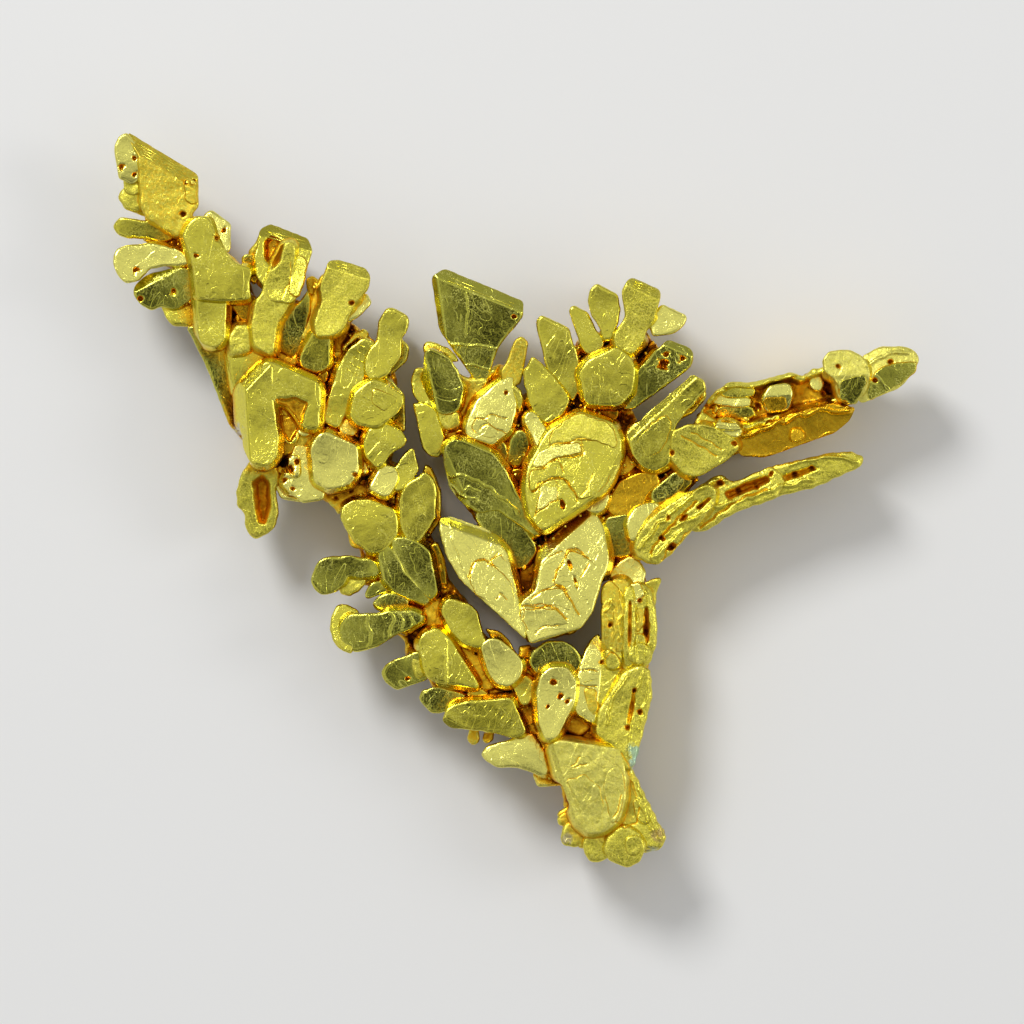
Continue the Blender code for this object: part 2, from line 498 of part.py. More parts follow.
def joined(name):
    """One solid from all the crystals and beds, with the hollows cut out of it."""
    first, *others = GROWN
    bpy.context.scene.collection.objects.link(first)
    boolean(first, "UNION", others)
    boolean(first, "DIFFERENCE", HOLLOWS)
    mesh = without_pockets(first)
    for helper in GROWN + HOLLOWS:
        bpy.data.objects.remove(helper)
    mesh.name = name
    mesh.materials.clear()
    mesh.materials.append(gold())
    made = bpy.data.objects.new(name, mesh)
    bpy.context.scene.collection.objects.link(made)
    return made


joined("nugget")
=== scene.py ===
# %% [markdown]
# A crystallised gold nugget is one piece of metal that grew as a spray of flat crystals. Each crystal is
# a thin tablet with a mirror-like or satin face, a bright rounded rim, and sides that sink into a rough,
# orange core. This notebook dresses the plain solid of the nugget: every crystal is made again from the
# outline that the solid uses, at a much finer grain. The frame holds the solid, so it is loaded first and
# gives the box to stay inside.

# %% Load the frame
import random
from typing import NamedTuple

import bpy
import numpy as np
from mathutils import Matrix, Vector
from mathutils.geometry import delaunay_2d_cdt


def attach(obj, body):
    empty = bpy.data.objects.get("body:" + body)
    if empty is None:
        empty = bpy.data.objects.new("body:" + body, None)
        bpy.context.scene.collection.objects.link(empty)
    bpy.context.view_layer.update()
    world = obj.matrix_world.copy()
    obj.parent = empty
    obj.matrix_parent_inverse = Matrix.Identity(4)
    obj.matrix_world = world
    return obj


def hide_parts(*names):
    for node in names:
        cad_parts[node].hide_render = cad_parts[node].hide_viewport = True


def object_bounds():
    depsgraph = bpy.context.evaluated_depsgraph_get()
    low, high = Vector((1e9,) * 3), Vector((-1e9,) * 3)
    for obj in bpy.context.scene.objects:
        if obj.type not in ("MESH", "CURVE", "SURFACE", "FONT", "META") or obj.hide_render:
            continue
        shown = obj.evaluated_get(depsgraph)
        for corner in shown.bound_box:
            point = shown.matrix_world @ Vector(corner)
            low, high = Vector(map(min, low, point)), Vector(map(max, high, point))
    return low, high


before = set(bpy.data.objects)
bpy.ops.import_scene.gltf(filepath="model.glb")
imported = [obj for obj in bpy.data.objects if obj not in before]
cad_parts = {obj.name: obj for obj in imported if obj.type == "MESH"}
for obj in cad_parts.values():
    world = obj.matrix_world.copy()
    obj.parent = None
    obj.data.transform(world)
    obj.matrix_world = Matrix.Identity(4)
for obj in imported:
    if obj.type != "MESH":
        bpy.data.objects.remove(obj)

cad_box = [list(corner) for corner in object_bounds()]
print("the solid's box, in metres:", cad_box)

# %% [markdown]
# The outlines are drawn on a grid laid over the specimen, x to the right and y down, as on a drawing
# sheet. One real length, the width over the branches, sets the size of a grid step. From here on
# everything is worked out in millimetres, and only the finished meshes are turned into metres.

# %% Sizes
WIDTH = 50.0  # millimetres, tip of the left branch to tip of the upper arm
GRID_WIDTH = 808.0  # the same width in grid steps
STEP = WIDTH / GRID_WIDTH
GRID_CENTRE = np.array((516.0, 499.5))
METRES = 0.001

GRAIN = 0.085  # distance between points on a face
BACK_GRAIN = 0.2  # the same on a back
RIM = 0.20  # radius of the rounded rim
BROAD_SWELL = 0.030  # height of the slow swell of a face
CORNER = 0.26  # how much is rounded off each corner of an outline
SPREAD = 0.15  # how far a face reaches past its outline where there is room
FLARE = 0.46  # how far its side spreads below the rim where there is room
UNDERCUT = 0.28  # how far a crystal narrows towards its back
LAYER = 0.10  # how far the growth layers of a side stand in and out

# The rows of points on a side, as shares of the way down.
SIDE_LEVELS = (0.03, 0.08, 0.15, 0.23, 0.32, 0.41, 0.50, 0.60, 0.70, 0.80, 0.90, 1.0)

# Slopes of a face, as rise to the right and rise towards the crest.
LEVEL = (0.0, 0.0)
TO_FOOT = (0.02, 0.12)
TO_CREST = (0.0, -0.10)
JITTER = 0.035  # the most that chance adds to a slope, either way
BOW = 0.09  # slope at the edge of a face that is bent a little
DICE = random.Random(7)
print("one grid step is", round(STEP, 4), "mm")


def pairs(text):
    """The points of an outline that is written as x,y pairs."""
    return np.array([pair.split(",") for pair in text.split()], float)


def sheet(points):
    """Grid points as millimetres from the middle of the specimen."""
    return (np.array(points, float) - GRID_CENTRE) * (STEP, -STEP)


# %% [markdown]
# An outline of a few straight strokes looks cut with scissors. Small helpers make it grow: one rounds the
# corners, one spaces the points evenly, and one is a soft noise made of a few plane waves, used for every
# ripple and swell below. The noise is seeded, so that each run gives the same nugget. The other helpers
# measure an outline.

# %% Outline helpers
def signed_area(ring):
    """The area of a closed outline, positive when it runs counter-clockwise."""
    after = np.roll(ring, -1, axis=0)
    return float((ring[:, 0] * after[:, 1] - ring[:, 1] * after[:, 0]).sum() / 2)


def rounded(corners, cut):
    """The outline with a short curve in place of each corner."""
    points = []
    for before, corner, after in zip(np.roll(corners, 1, axis=0), corners, np.roll(corners, -1, axis=0)):
        back, ahead = before - corner, after - corner
        start = corner + back * min(cut / np.hypot(*back), 0.42)
        end = corner + ahead * min(cut / np.hypot(*ahead), 0.42)
        for t in (0.0, 0.25, 0.5, 0.75, 1.0):
            points.append((1 - t) ** 2 * start + 2 * t * (1 - t) * corner + t * t * end)
    return np.array(points)


def evenly(points, spacing, closed=True):
    """Points at an even distance along a line."""
    line = np.vstack([points, points[:1]]) if closed else np.array(points)
    along = np.concatenate([[0.0], np.cumsum(np.hypot(*np.diff(line, axis=0).T))])
    count = max(10 if closed else 2, int(along[-1] / spacing))
    at = np.linspace(0.0, along[-1], count, endpoint=not closed)
    return np.column_stack([np.interp(at, along, line[:, k]) for k in (0, 1)])


def swell(points, length, seed, waves=9):
    """Soft noise between about -1 and 1, with hills about one length across."""
    dice = np.random.default_rng(seed)
    turns = dice.uniform(0, 2 * np.pi, waves)
    pace = 2 * np.pi / length * dice.uniform(0.5, 1.3, waves)
    directions = np.column_stack([np.cos(turns), np.sin(turns)]) * pace[:, None]
    phases = dice.uniform(0, 2 * np.pi, waves)
    return np.sin(points @ directions.T + phases).sum(axis=1) / np.sqrt(waves) / 1.4


def outward_of(ring):
    """The direction out of a ring at each of its points, where it runs counter-clockwise."""
    heading = np.roll(ring, -1, axis=0) - np.roll(ring, 1, axis=0)
    return np.column_stack([heading[:, 1], -heading[:, 0]]) / np.hypot(*heading.T)[:, None]


def edge_distance(points, ring, closed=True):
    """Each point's distance to a line."""
    start, end = (ring, np.roll(ring, -1, axis=0)) if closed else (ring[:-1], ring[1:])
    stretch = end - start
    away = points[:, None] - start[None]
    share = np.clip((away * stretch).sum(2) / (stretch * stretch).sum(1), 0, 1)
    return np.sqrt(((away - share[..., None] * stretch) ** 2).sum(2).min(1))


def inside(points, ring):
    """Which points lie inside a closed outline."""
    x, y = points[:, :1], points[:, 1:]
    (x0, y0), (x1, y1) = ring.T, np.roll(ring, -1, axis=0).T
    level = np.where(y1 == y0, 1e-12, y1 - y0)
    crosses = ((y0 > y) != (y1 > y)) & (x < (x1 - x0) * (y - y0) / level + x0)
    return crosses.sum(axis=1) % 2 == 1


print("outline helpers ready")

# %% [markdown]
# Growth leaves marks on the faces: pits, cups where the rim outgrew the middle, raised seams and grooves.
# They could be left to a bump map, but then they vanish from the side, so they are part of the mesh. Each
# mark is written once here in grid steps, with a size in millimetres, and every face below takes the
# marks that fall on it.

# %% Pits
PIT_DEPTH = 1.5  # as a share of the pit's radius
PITS = [  # x, y and radius on the grid
    (121, 167, 3), (134, 158, 2.5), (134, 174, 2.5), (183, 214, 3), (186, 182, 2.5), (193, 182, 2.5),
    (135, 270, 3), (140, 298, 3), (173, 291, 3), (196, 256, 2.5), (217, 238, 3), (224, 230, 2.5),
    (352, 303, 3), (289, 469, 5), (284, 480, 3), (297, 462, 3), (293, 489, 2.5), (349, 489, 3.5),
    (356, 475, 3), (361, 474, 2.5), (336, 498, 2.5), (476, 653, 2.5), (407, 679, 2.5), (514, 317, 2.5),
    (506, 393, 2.5), (663, 364, 5.5), (666, 354, 3), (682, 359, 3), (672, 453, 3), (735, 443, 3),
    (845, 404, 3.5),
    (812, 386, 2.5), (824, 393, 2.5), (706, 405, 3), (668, 517, 2.5), (771, 474, 2.5), (662, 538, 3),
    (671, 547, 4.5), (757, 487, 3), (738, 490, 3), (795, 474, 3), (812, 468, 3), (602, 662, 2.5),
    (610, 625, 2.5), (553, 682, 3.5), (560, 696, 3), (567, 701, 2.5), (548, 706, 2), (720, 483, 4),
    (640, 600, 2.5), (646, 632, 3),
    (634, 690, 2.5), (640, 712, 3), (627, 728, 2.5), (890, 362, 3), (838, 366, 2.5), (875, 380, 3),
]

# %% Hollows
# Depth and width of the sloping side in millimetres, how orange its painted shade is, and the mouth on the
# grid.
HOLLOWS = [
    (0.8, 0.4, 0.7, [(250, 482), (262, 472), (271, 482), (272, 508), (266, 526), (256, 524)]),
    (0.6, 0.35, 0.6, [(263, 240), (272, 232), (286, 242), (282, 262), (272, 272), (263, 258)]),
    (0.9, 0.3, 0.5, [
        (700, 412), (716, 395), (732, 386), (752, 387), (768, 383), (788, 376), (802, 381), (813, 373),
        (826, 372), (838, 384), (842, 396), (828, 402), (790, 411), (748, 425), (720, 423)]),
    (0.4, 0.2, 0.9, [(826, 378), (836, 382), (838, 394), (828, 396), (822, 388)]),
    (0.4, 0.15, 0.9, [(755, 402), (761, 402), (763, 411), (757, 412)]),
    (0.7, 0.3, 0.7, [(722, 492), (745, 481), (768, 474), (772, 482), (748, 493), (728, 501)]),
    (0.6, 0.3, 0.6, [(780, 475), (812, 465), (822, 468), (800, 478), (784, 483)]),
    (0.7, 0.2, 0.9, [(694, 508), (708, 496), (713, 498), (700, 511)]),
    (0.6, 0.2, 0.9, [(677, 521), (683, 513), (690, 514), (684, 522)]),
    (0.5, 0.2, 0.8, [(644, 606), (649, 606), (650, 640), (645, 650), (642, 630)]),
    (0.45, 0.15, 0.8, [(628, 600), (632, 600), (632, 640), (629, 655), (627, 640)]),
    (0.4, 0.2, 0.6, [(632, 690), (637, 688), (635, 712), (628, 735), (626, 720)]),
    (0.3, 0.25, 0.6, [(274, 398), (296, 396), (310, 402), (304, 424), (290, 446), (282, 436)]),
    (0.35, 0.08, 0.9, [(566, 560), (570, 559), (573, 566), (572, 573), (569, 570)]),
    (0.30, 0.08, 0.9, [(572, 574), (576, 577), (578, 584), (578, 592), (575, 586), (573, 579)]),
    (0.40, 0.10, 0.9, [(559, 499), (563, 499), (566, 504), (564, 511), (560, 508)]),
]

# %% Seams and grooves
SEAMS = [  # height and half width in millimetres, and the line on the grid
    (0.07, 0.09, [(446, 343), (474, 346), (502, 348)]),
    (0.06, 0.08, [(458, 365), (492, 368)]),
    (0.03, 0.06, [(467, 292), (468, 310), (466, 334)]),
    (0.10, 0.10, [(450, 477), (470, 477), (485, 485), (505, 500), (520, 512)]),
    (0.07, 0.08, [(450, 486), (462, 495), (478, 502)]),
    (0.05, 0.07, [(458, 498), (468, 486), (480, 492)]),
    (0.07, 0.09, [(370, 611), (368, 622), (371, 634), (366, 652)]),
    (0.06, 0.08, [(390, 611), (394, 620), (389, 630), (392, 640)]),
    (0.04, 0.06, [(399, 613), (405, 622), (401, 633)]),
    (0.04, 0.06, [(408, 613), (413, 620), (410, 629)]),
    (0.06, 0.08, [(447, 638), (446, 660), (446, 684)]),
    (0.08, 0.10, [(602, 662), (612, 648), (622, 660)]),
    (0.05, 0.06, [(449, 520), (455, 545), (461, 565), (473, 583)]),
    (-0.05, 0.05, [(496, 600), (500, 593), (508, 598)]),
    (-0.07, 0.06, [(497, 553), (494, 558), (489, 563)]),
    (-0.06, 0.07, [(470, 578), (471, 566), (476, 560), (486, 559), (494, 565)]),
    (-0.07, 0.05, [(548, 556), (556, 553), (562, 552)]),
    (-0.10, 0.09, [(566, 557), (569, 551), (576, 550), (583, 555), (590, 560)]),
    (-0.06, 0.05, [(553, 583), (557, 571), (563, 562)]),
    (-0.08, 0.06, [(590, 565), (584, 570), (580, 578)]),
    (-0.11, 0.10, [(556, 586), (564, 589), (569, 598), (575, 607), (578, 615)]),
    (-0.09, 0.09, [(522, 607), (540, 606), (556, 608), (562, 614), (567, 618)]),
    (-0.05, 0.05, [(532, 598), (545, 590), (556, 586)]),
    (-0.05, 0.05, [(524, 610), (523, 620), (527, 630)]),
    (-0.05, 0.05, [(536, 633), (546, 625), (560, 626)]),
    (-0.06, 0.06, [(550, 446), (562, 443), (575, 440), (590, 440)]),
    (-0.07, 0.07, [(552, 460), (566, 457), (583, 455)]),
    (-0.05, 0.05, [(581, 441), (583, 449), (581, 455)]),
    (-0.05, 0.05, [(534, 468), (545, 467), (552, 460)]),
    (-0.06, 0.05, [(564, 473), (562, 466), (560, 460)]),
    (-0.10, 0.09, [
        (532, 492), (536, 491), (539, 484), (552, 479), (563, 477), (570, 484), (574, 492), (577, 501)]),
    (-0.04, 0.04, [(540, 486), (542, 494), (539, 499)]),
    (-0.06, 0.06, [(533, 517), (547, 504), (559, 499)]),
    (-0.04, 0.05, [(556, 482), (558, 490), (558, 499)]),
    (-0.05, 0.05, [(592, 474), (588, 488), (582, 496)]),
    (-0.05, 0.06, [(571, 766), (576, 762), (581, 758)]),
    (-0.05, 0.05, [(572, 768), (580, 764), (588, 764)]),
    (-0.07, 0.08, [(622, 752), (627, 766), (631, 782), (636, 796)]),
    (-0.06, 0.06, [(621, 795), (619, 806), (614, 817)]),
    (-0.07, 0.07, [(616, 822), (626, 827), (636, 822), (640, 808)]),
    (-0.22, 0.11, [(650, 552), (664, 533), (684, 513), (698, 502)]),
    (-0.20, 0.10, [(700, 528), (720, 512), (742, 498), (766, 490)]),
    (-0.12, 0.08, [(661, 560), (676, 545), (690, 530)]),
    (-0.10, 0.07, [(682, 436), (700, 446), (716, 456)]),
    (-0.07, 0.05, [(690, 432), (706, 440), (722, 450)]),
    (-0.08, 0.06, [(600, 664), (608, 652), (616, 654), (620, 664)]),
    (-0.07, 0.06, [(579, 670), (588, 668), (597, 672)]),
    (-0.07, 0.06, [(578, 684), (586, 687), (596, 686)]),
    (-0.06, 0.05, [(475, 420), (490, 415), (505, 418)]),
    (-0.06, 0.05, [(478, 430), (486, 424), (497, 428), (506, 436)]),
    (-0.05, 0.05, [(292, 262), (290, 282), (280, 300)]),
    (-0.06, 0.06, [(640, 476), (650, 470), (660, 478)]),
    (0.22, 0.20, [(740, 437), (760, 430), (780, 421), (800, 415), (822, 410), (850, 411)]),
    (0.08, 0.10, [(745, 455), (768, 456), (800, 445), (838, 431)]),
    (0.20, 0.18, [(700, 404), (724, 387), (748, 386), (790, 377), (812, 373), (836, 384)]),
    (0.18, 0.16, [(700, 424), (722, 428), (748, 428), (788, 414), (828, 404)]),
    (0.20, 0.16, [(640, 548), (654, 530), (672, 512), (694, 492), (712, 482), (742, 476), (776, 464)]),
    (0.20, 0.16, [(650, 560), (668, 546), (690, 520), (716, 506), (742, 500), (776, 488), (812, 480)]),
    (0.14, 0.12, [(660, 540), (678, 524), (700, 516)]),
    (0.14, 0.14, [(790, 464), (820, 457), (856, 460)]),
    (0.14, 0.14, [(868, 366), (886, 354), (908, 352)]),
    (0.14, 0.12, [(606, 612), (612, 600), (616, 620), (612, 645)]),
    (0.12, 0.10, [(620, 590), (622, 610), (618, 640)]),
    (0.16, 0.12, [(634, 598), (638, 620), (634, 645), (638, 662)]),
    (0.14, 0.12, [(646, 592), (650, 615), (647, 640), (646, 656)]),
    (0.18, 0.14, [(628, 676), (612, 700), (606, 724)]),
    (0.16, 0.12, [(642, 674), (634, 700), (630, 730), (628, 756)]),
    (0.12, 0.10, [(650, 680), (644, 706), (640, 730)]),
    (0.12, 0.14, [(628, 772), (636, 796), (652, 830)]),
    (0.10, 0.12, [(640, 790), (648, 812), (660, 838)]),
]
print(len(PITS), "pits,", len(HOLLOWS), "hollows and", len(SEAMS), "seams")

# %% [markdown]
# A mark needs points of its own where the surface turns, or it comes out as a stain of stretched
# triangles. So each kind of mark gives two things: the points that its edge needs, and its height at any
# point.

# %% Points and heights of the marks
def circle(middle, radius, count):
    """Points at even turns round a middle."""
    turn = np.linspace(0, 2 * np.pi, count, endpoint=False)
    return middle + radius * np.column_stack([np.cos(turn), np.sin(turn)])


def hump(share):
    """A smooth hill: 1 where share is 0, and 0 from 1 on."""
    return np.where(share < 1, (1 - np.minimum(share, 1) ** 2) ** 2, 0.0)


def ramp(share):
    """A smooth rise from 0 to 1."""
    share = np.clip(share, 0, 1)
    return share * share * (3 - 2 * share)


# Painted shade: the bottom of a groove is painted orange.
GROOVE_SHADE = 0.5  # how orange the bottom of a groove is
MARK_PITS = [(sheet(pit[:2]), pit[2] * STEP) for pit in PITS]
MARK_HOLLOWS = [(*row[:3], evenly(rounded(sheet(row[3]), 0.2), 0.12)) for row in HOLLOWS]


def wandering(line):
    """A line that wanders a little, as a growth step does."""
    line = evenly(sheet(line), 0.1, closed=False)
    return line + 0.10 * np.column_stack([swell(line, 0.9, 31), swell(line, 0.9, 32)])


MARK_SEAMS = [(rise, half, wandering(line)) for rise, half, line in SEAMS]


def mark_points():
    """The points that the marks need, all over the nugget."""
    points = []
    for middle, radius in MARK_PITS:
        points += [middle[None]] + [circle(middle, radius * share, 12) for share in (0.45, 0.8, 1.0, 1.3)]
    for _, side, _, mouth in MARK_HOLLOWS:
        heading = np.roll(mouth, -1, axis=0) - np.roll(mouth, 1, axis=0)
        inward = np.column_stack([-heading[:, 1], heading[:, 0]])
        inward *= np.sign(signed_area(mouth)) / np.hypot(*inward.T)[:, None]
        points += [mouth, mouth + inward * side * 0.35]
    for _, half, line in MARK_SEAMS:
        heading = np.gradient(line, axis=0)
        across = np.column_stack([-heading[:, 1], heading[:, 0]]) / np.hypot(*heading.T)[:, None]
        points += [line + across * half * share for share in (-1.0, -0.5, 0.0, 0.5, 1.0)]
    return np.vstack(points)


def relief(points):
    """Height of the marks at each point, and the orange painted shade that a pit, hollow or groove puts on
    it.
    """
    low, high = points.min(axis=0) - 0.6, points.max(axis=0) + 0.6
    # The second value is painted shade with painted bounce light, deepest in pits, hollows and grooves.
    height, sunk = np.zeros(len(points)), np.zeros(len(points))

    def near(line):
        return (line.max(axis=0) > low).all() and (line.min(axis=0) < high).all()

    for middle, radius in MARK_PITS:
        if near(middle[None]):
            away = np.hypot(*(points - middle).T) * (1 + 0.35 * swell(points, 0.35, 12))
            cup = hump(away / (1.25 * radius))
            height -= PIT_DEPTH * radius * cup
            sunk = np.maximum(sunk, cup ** 0.6)
    for depth, side, warmth, mouth in MARK_HOLLOWS:
        if near(mouth):
            away = edge_distance(points, mouth) * (1 + 0.25 * swell(points, 0.9, 13))
            down = np.where(inside(points, mouth), ramp(away / side), 0)
            height -= depth * down * (1 + 0.15 * swell(points, 1.4, 14))
            sunk = np.maximum(sunk, warmth * down)
    for rise, half, line in MARK_SEAMS:
        if near(line):
            hill = hump(edge_distance(points, line, closed=False) / half)
            height += rise * hill
            sunk = np.maximum(sunk, GROOVE_SHADE * hill if rise < 0 else 0.0)
    return height, sunk


MARK_POINTS = mark_points()
print(len(MARK_POINTS), "points for the marks")

# %% [markdown]
# Some faces show a broad flat bevel along one edge, wider than the worn rim. A bevel is a plane that
# leans from the edge up to the face, and the face is cut off where the plane is lower. It is given by the
# edge on the grid, its width in grid steps and its drop in millimetres.

# %% Broad bevels
BEVELS = {
    "tip_blade": [((127, 131), (198, 174), 15, 0.55)],
    "crest_one": [((260, 226), (312, 241), 10, 0.45)],
    "crest_two": [((330, 258), (371, 270), 10, 0.45)],
    "crown_blade": [((444, 268), (524, 301), 12, 0.5), ((431, 277), (439, 330), 6, 0.3)],
    "lobe_e": [((632, 277), (661, 290), 10, 0.45)],
    "holed_leaf": [((667, 339), (694, 350), 7, 0.35)],
    "broad_leaf": [((628, 436), (693, 374), 5, 0.25)],
    "fan_face": [((134, 285), (171, 266), 7, 0.35)],
    "slab": [((239, 390), (243, 448), 7, 0.8), ((262, 366), (239, 390), 6, 0.4)],
    "bract": [((423, 366), (432, 406), 5, 0.25)],
    "big_leaf": [((443, 460), (463, 505), 6, 0.3)],
    "wing_left": [((441, 518), (493, 537), 6, 0.3)],
    "wing_right": [((545, 550), (583, 514), 6, 0.3)],
    "foot_plate": [((551, 746), (567, 800), 3, 0.2)],
    "ploughshare": [((441, 720), (462, 731), 4, 0.2)],
    "arm_tip": [((872, 404), (926, 381), 22, 0.42)],
    "arm_keel": [((742, 459), (838, 433), 24, 0.6)],
    "arm_knuckle": [((836, 406), (868, 404), 30, 0.54)],
    "arm_bump": [((764, 412), (788, 410), 15, 0.30)],
    "shell": [((620, 458), (601, 493), 4, 0.2)],
}


def bevelled(points, planes):
    """How far the bevels take the face down at each point."""
    down = np.zeros(len(points))
    for start, end, width, drop in planes:
        a, b = sheet([start, end])
        normal = np.array((-(b - a)[1], (b - a)[0])) / np.hypot(*(b - a))
        if ((points.mean(axis=0) - a) @ normal) < 0:
            normal = -normal
        share = ((points - a) @ normal) / (width * STEP)
        down = np.maximum(down, drop * np.clip(1 - share, 0, 1.5))
    return down


print(sum(len(planes) for planes in BEVELS.values()), "broad bevels")

# %% [markdown]
# Now the crystal itself. Its outline is rippled a little and becomes a ring. Inside the ring go rows of
# points that follow the rounded rim, a honeycomb of points for the face, and the points of the marks.
# Blender's constrained triangulation joins them whatever the outline's shape, which rings scaled towards
# a centre wouldn't do on a curved leaf. The height of each point is the lowest of the face, the rim and
# the bevels. Sides with growth layers run down to the back, which is a coarser face of the same kind, so
# that every crystal is a closed shell.

# %% Point patterns
RIM_ROWS = (0.08, 0.24, 0.45, 0.7, 1.0)  # as shares of the rim's radius


def honeycomb(ring, spacing):
    """A honeycomb of points inside a ring, with their distances to it."""
    low, high = ring.min(axis=0), ring.max(axis=0)
    rows = np.arange(low[1], high[1], spacing * 0.866)
    points = np.array([
        (x + (spacing / 2 if i % 2 else 0.0), y)
        for i, y in enumerate(rows) for x in np.arange(low[0], high[0], spacing)
    ])
    points = points[inside(points, ring)]
    return points, edge_distance(points, ring)


def rippled(outline, spacing, seed, size):
    """A rounded outline with small ripples, as an even ring that runs counter-clockwise."""
    ring = evenly(rounded(sheet(outline), CORNER), spacing)
    if signed_area(ring) < 0:
        ring = ring[::-1]
    ring = ring + outward_of(ring) * (size * (swell(ring, 0.7, seed) - 0.6))[:, None]
    limit = np.array(cad_box)[:, :2] / METRES
    return np.clip(ring, limit[0], limit[1])


def triangulated(ring, points):
    """The flat mesh inside a ring: its points, the ring's own first, and its triangles."""
    fixed = [Vector(point) for point in np.vstack([ring, points])]
    count = len(ring)
    edges = [(i, (i + 1) % count) for i in range(count)]
    made, _, faces, sources, _, _ = delaunay_2d_cdt(fixed, edges, [], 1, 1e-5)
    order = sorted(range(len(made)), key=lambda i: min(sources[i], default=len(fixed)))
    place = {old: new for new, old in enumerate(order)}
    flat = np.array([made[i][:] for i in order])
    return flat, np.array([[place[i] for i in face] for face in faces])


# %% [markdown]
# What a crystal looks like depends on its finish as well as its shape. Eight finishes are told apart on the
# specimen: mirror faces that show the dark round the camera, satin faces, bright faces that are turned to
# the light, flat matte ones, amber, straw and pale ones, and rough gold. A finish sets the lean of the face,
# the size of its swells, how bright it is and how warm it is. The brightness is a painted reflection laid
# into the colour: dark for mirror faces, light for bright ones.

# %% Finishes
# The brightness column is a painted reflection, laid into the colour of the face.
FINISHES = {  # lean to the right and to the crest, size of the swells in millimetres, brightness, warmth
    "mirror": (0.0, 0.05, 0.004, 0.0, 0.0),
    "satin": (0.0, -0.02, 0.006, 0.5, 0.0),
    "bright": (-0.02, -0.07, 0.007, 1.0, 0.0),
    "rough": (0.0, 0.0, 0.020, 0.55, 0.04),
    "matte": (0.0, -0.01, 0.010, 0.55, 0.0),
    "amber": (0.0, -0.02, 0.010, 0.6, 0.46),
    "straw": (0.0, 0.03, 0.010, 0.45, 0.22),
    "pale": (0.0, -0.03, 0.012, 0.8, 0.02),
}
COARSE_FINISHES = ("rough", "matte", "straw", "pale")  # those that take the coarser gold
MIRROR = """fan_face hull crest_leaf leaf_bud pod_left pod_right green_sliver paddle shoe crown_blade
    bract eye_small eye_large eye_low big_leaf big_leaf_low holed_leaf cell_dark cell_right dome curl bead
    gem_upper finger_low kite_back pebble""".split()
BRIGHT = """tip_lobe fist side_nub crest_two_spur pale_wedge ledge ledge_corner step_block book shard
    wing_left wing_right pale_shard pearl blade_left plough cushion arm_button arm_bump neck bean_low
    plough_tail lobe_e_knob gem_side""".split()
ROUGH = """tip_knob hook bridge thumb bead_low stud_left stud_right column_right column_low
    arm_crest lower_root lower_mid lower_end foot_flank lump_a lump_b lump_c lump_d lump_e blade_right
    saddle_lip slab_floor column_ear""".split()
MATTE = "crest_two arm_root lobe_e crest_one_body".split()
AMBER = "arm_keel keel_bead amber".split()
STRAW = "tip_blade column_left finger_tip".split()
PALE = "foot_plate arm_knuckle arm_tip".split()

# A crystal's extra rise towards the crest. A face with more of it looks to the foot and comes out darker.
TILTS = {
    "kite_upper": -0.04, "bean": -0.05, "oval": 0.08, "broad_leaf": -0.04, "crown_blade": -0.03,
    "big_leaf": 0.03, "lower_root": 0.07, "arm_tip": -0.04, "column_left": -0.06, "amber": -0.16,
    "arm_keel": -0.06, "tip_lobe": 0.05, "fist": 0.05, "fan_face": 0.03, "lobe_e": 0.04, "lobe_d": 0.04,
    "arm_root": 0.02, "ploughshare": -0.04, "foot_plate": -0.03, "hull": 0.04, "tip_blade": 0.06,
}
# Faces that lie in or over a hollow and don't take its mark.
UNMARKED = "amber arm_bump sliver_a sliver_b sliver_c sliver_d trough_shard keel_bead".split()


def finish_of(name):
    """The finish of a crystal, or of a plate that is named after a finish."""
    for finish, names in (("mirror", MIRROR), ("bright", BRIGHT), ("rough", ROUGH), ("matte", MATTE),
                          ("amber", AMBER), ("straw", STRAW), ("pale", PALE)):
        if name in names or name == finish:
            return finish
    return "rough" if name.startswith("bed") else "satin"


print(len(MIRROR), "mirror,", len(BRIGHT), "bright and", len(ROUGH), "rough crystals")

# %% The face of a shell
HIGHEST = cad_box[1][2] / METRES + 0.1  # no point stands higher
CLEAR_OF_EDGE = 0.03  # how near to the outline a mark may have points
MARK_FADE = 0.05  # the distance from the outline over which a mark sets in


def rim_drop(distance, radius, height):
    """How far a rounded rim lies below the face."""
    share = np.clip(1 - distance / radius, 0, 1)
    return height * (1 - np.sqrt(np.maximum(1 - share * share, 0)))


def face_points(ring, radius, core, grain):
    """The points inside a ring: rows that follow the rim, those of the marks, and the rest of the core."""
    rows = []
    for share in RIM_ROWS:
        row = ring - outward_of(ring) * share * radius
        row = row[inside(row, ring)]
        rows.append(row[edge_distance(row, ring) > 0.96 * share * radius])
    low, high = ring.min(axis=0), ring.max(axis=0)
    marks = MARK_POINTS[((MARK_POINTS > low) & (MARK_POINTS < high)).all(axis=1)]
    if len(marks):
        marks = marks[inside(marks, ring)]
    if len(marks):
        marks = marks[edge_distance(marks, ring) > CLEAR_OF_EDGE]
    if len(marks) and len(core):
        gaps = np.sqrt(((core[:, None] - marks[None]) ** 2).sum(2)).min(axis=1)
        core = core[gaps > 0.5 * grain]
    return np.vstack(rows + [core, marks])


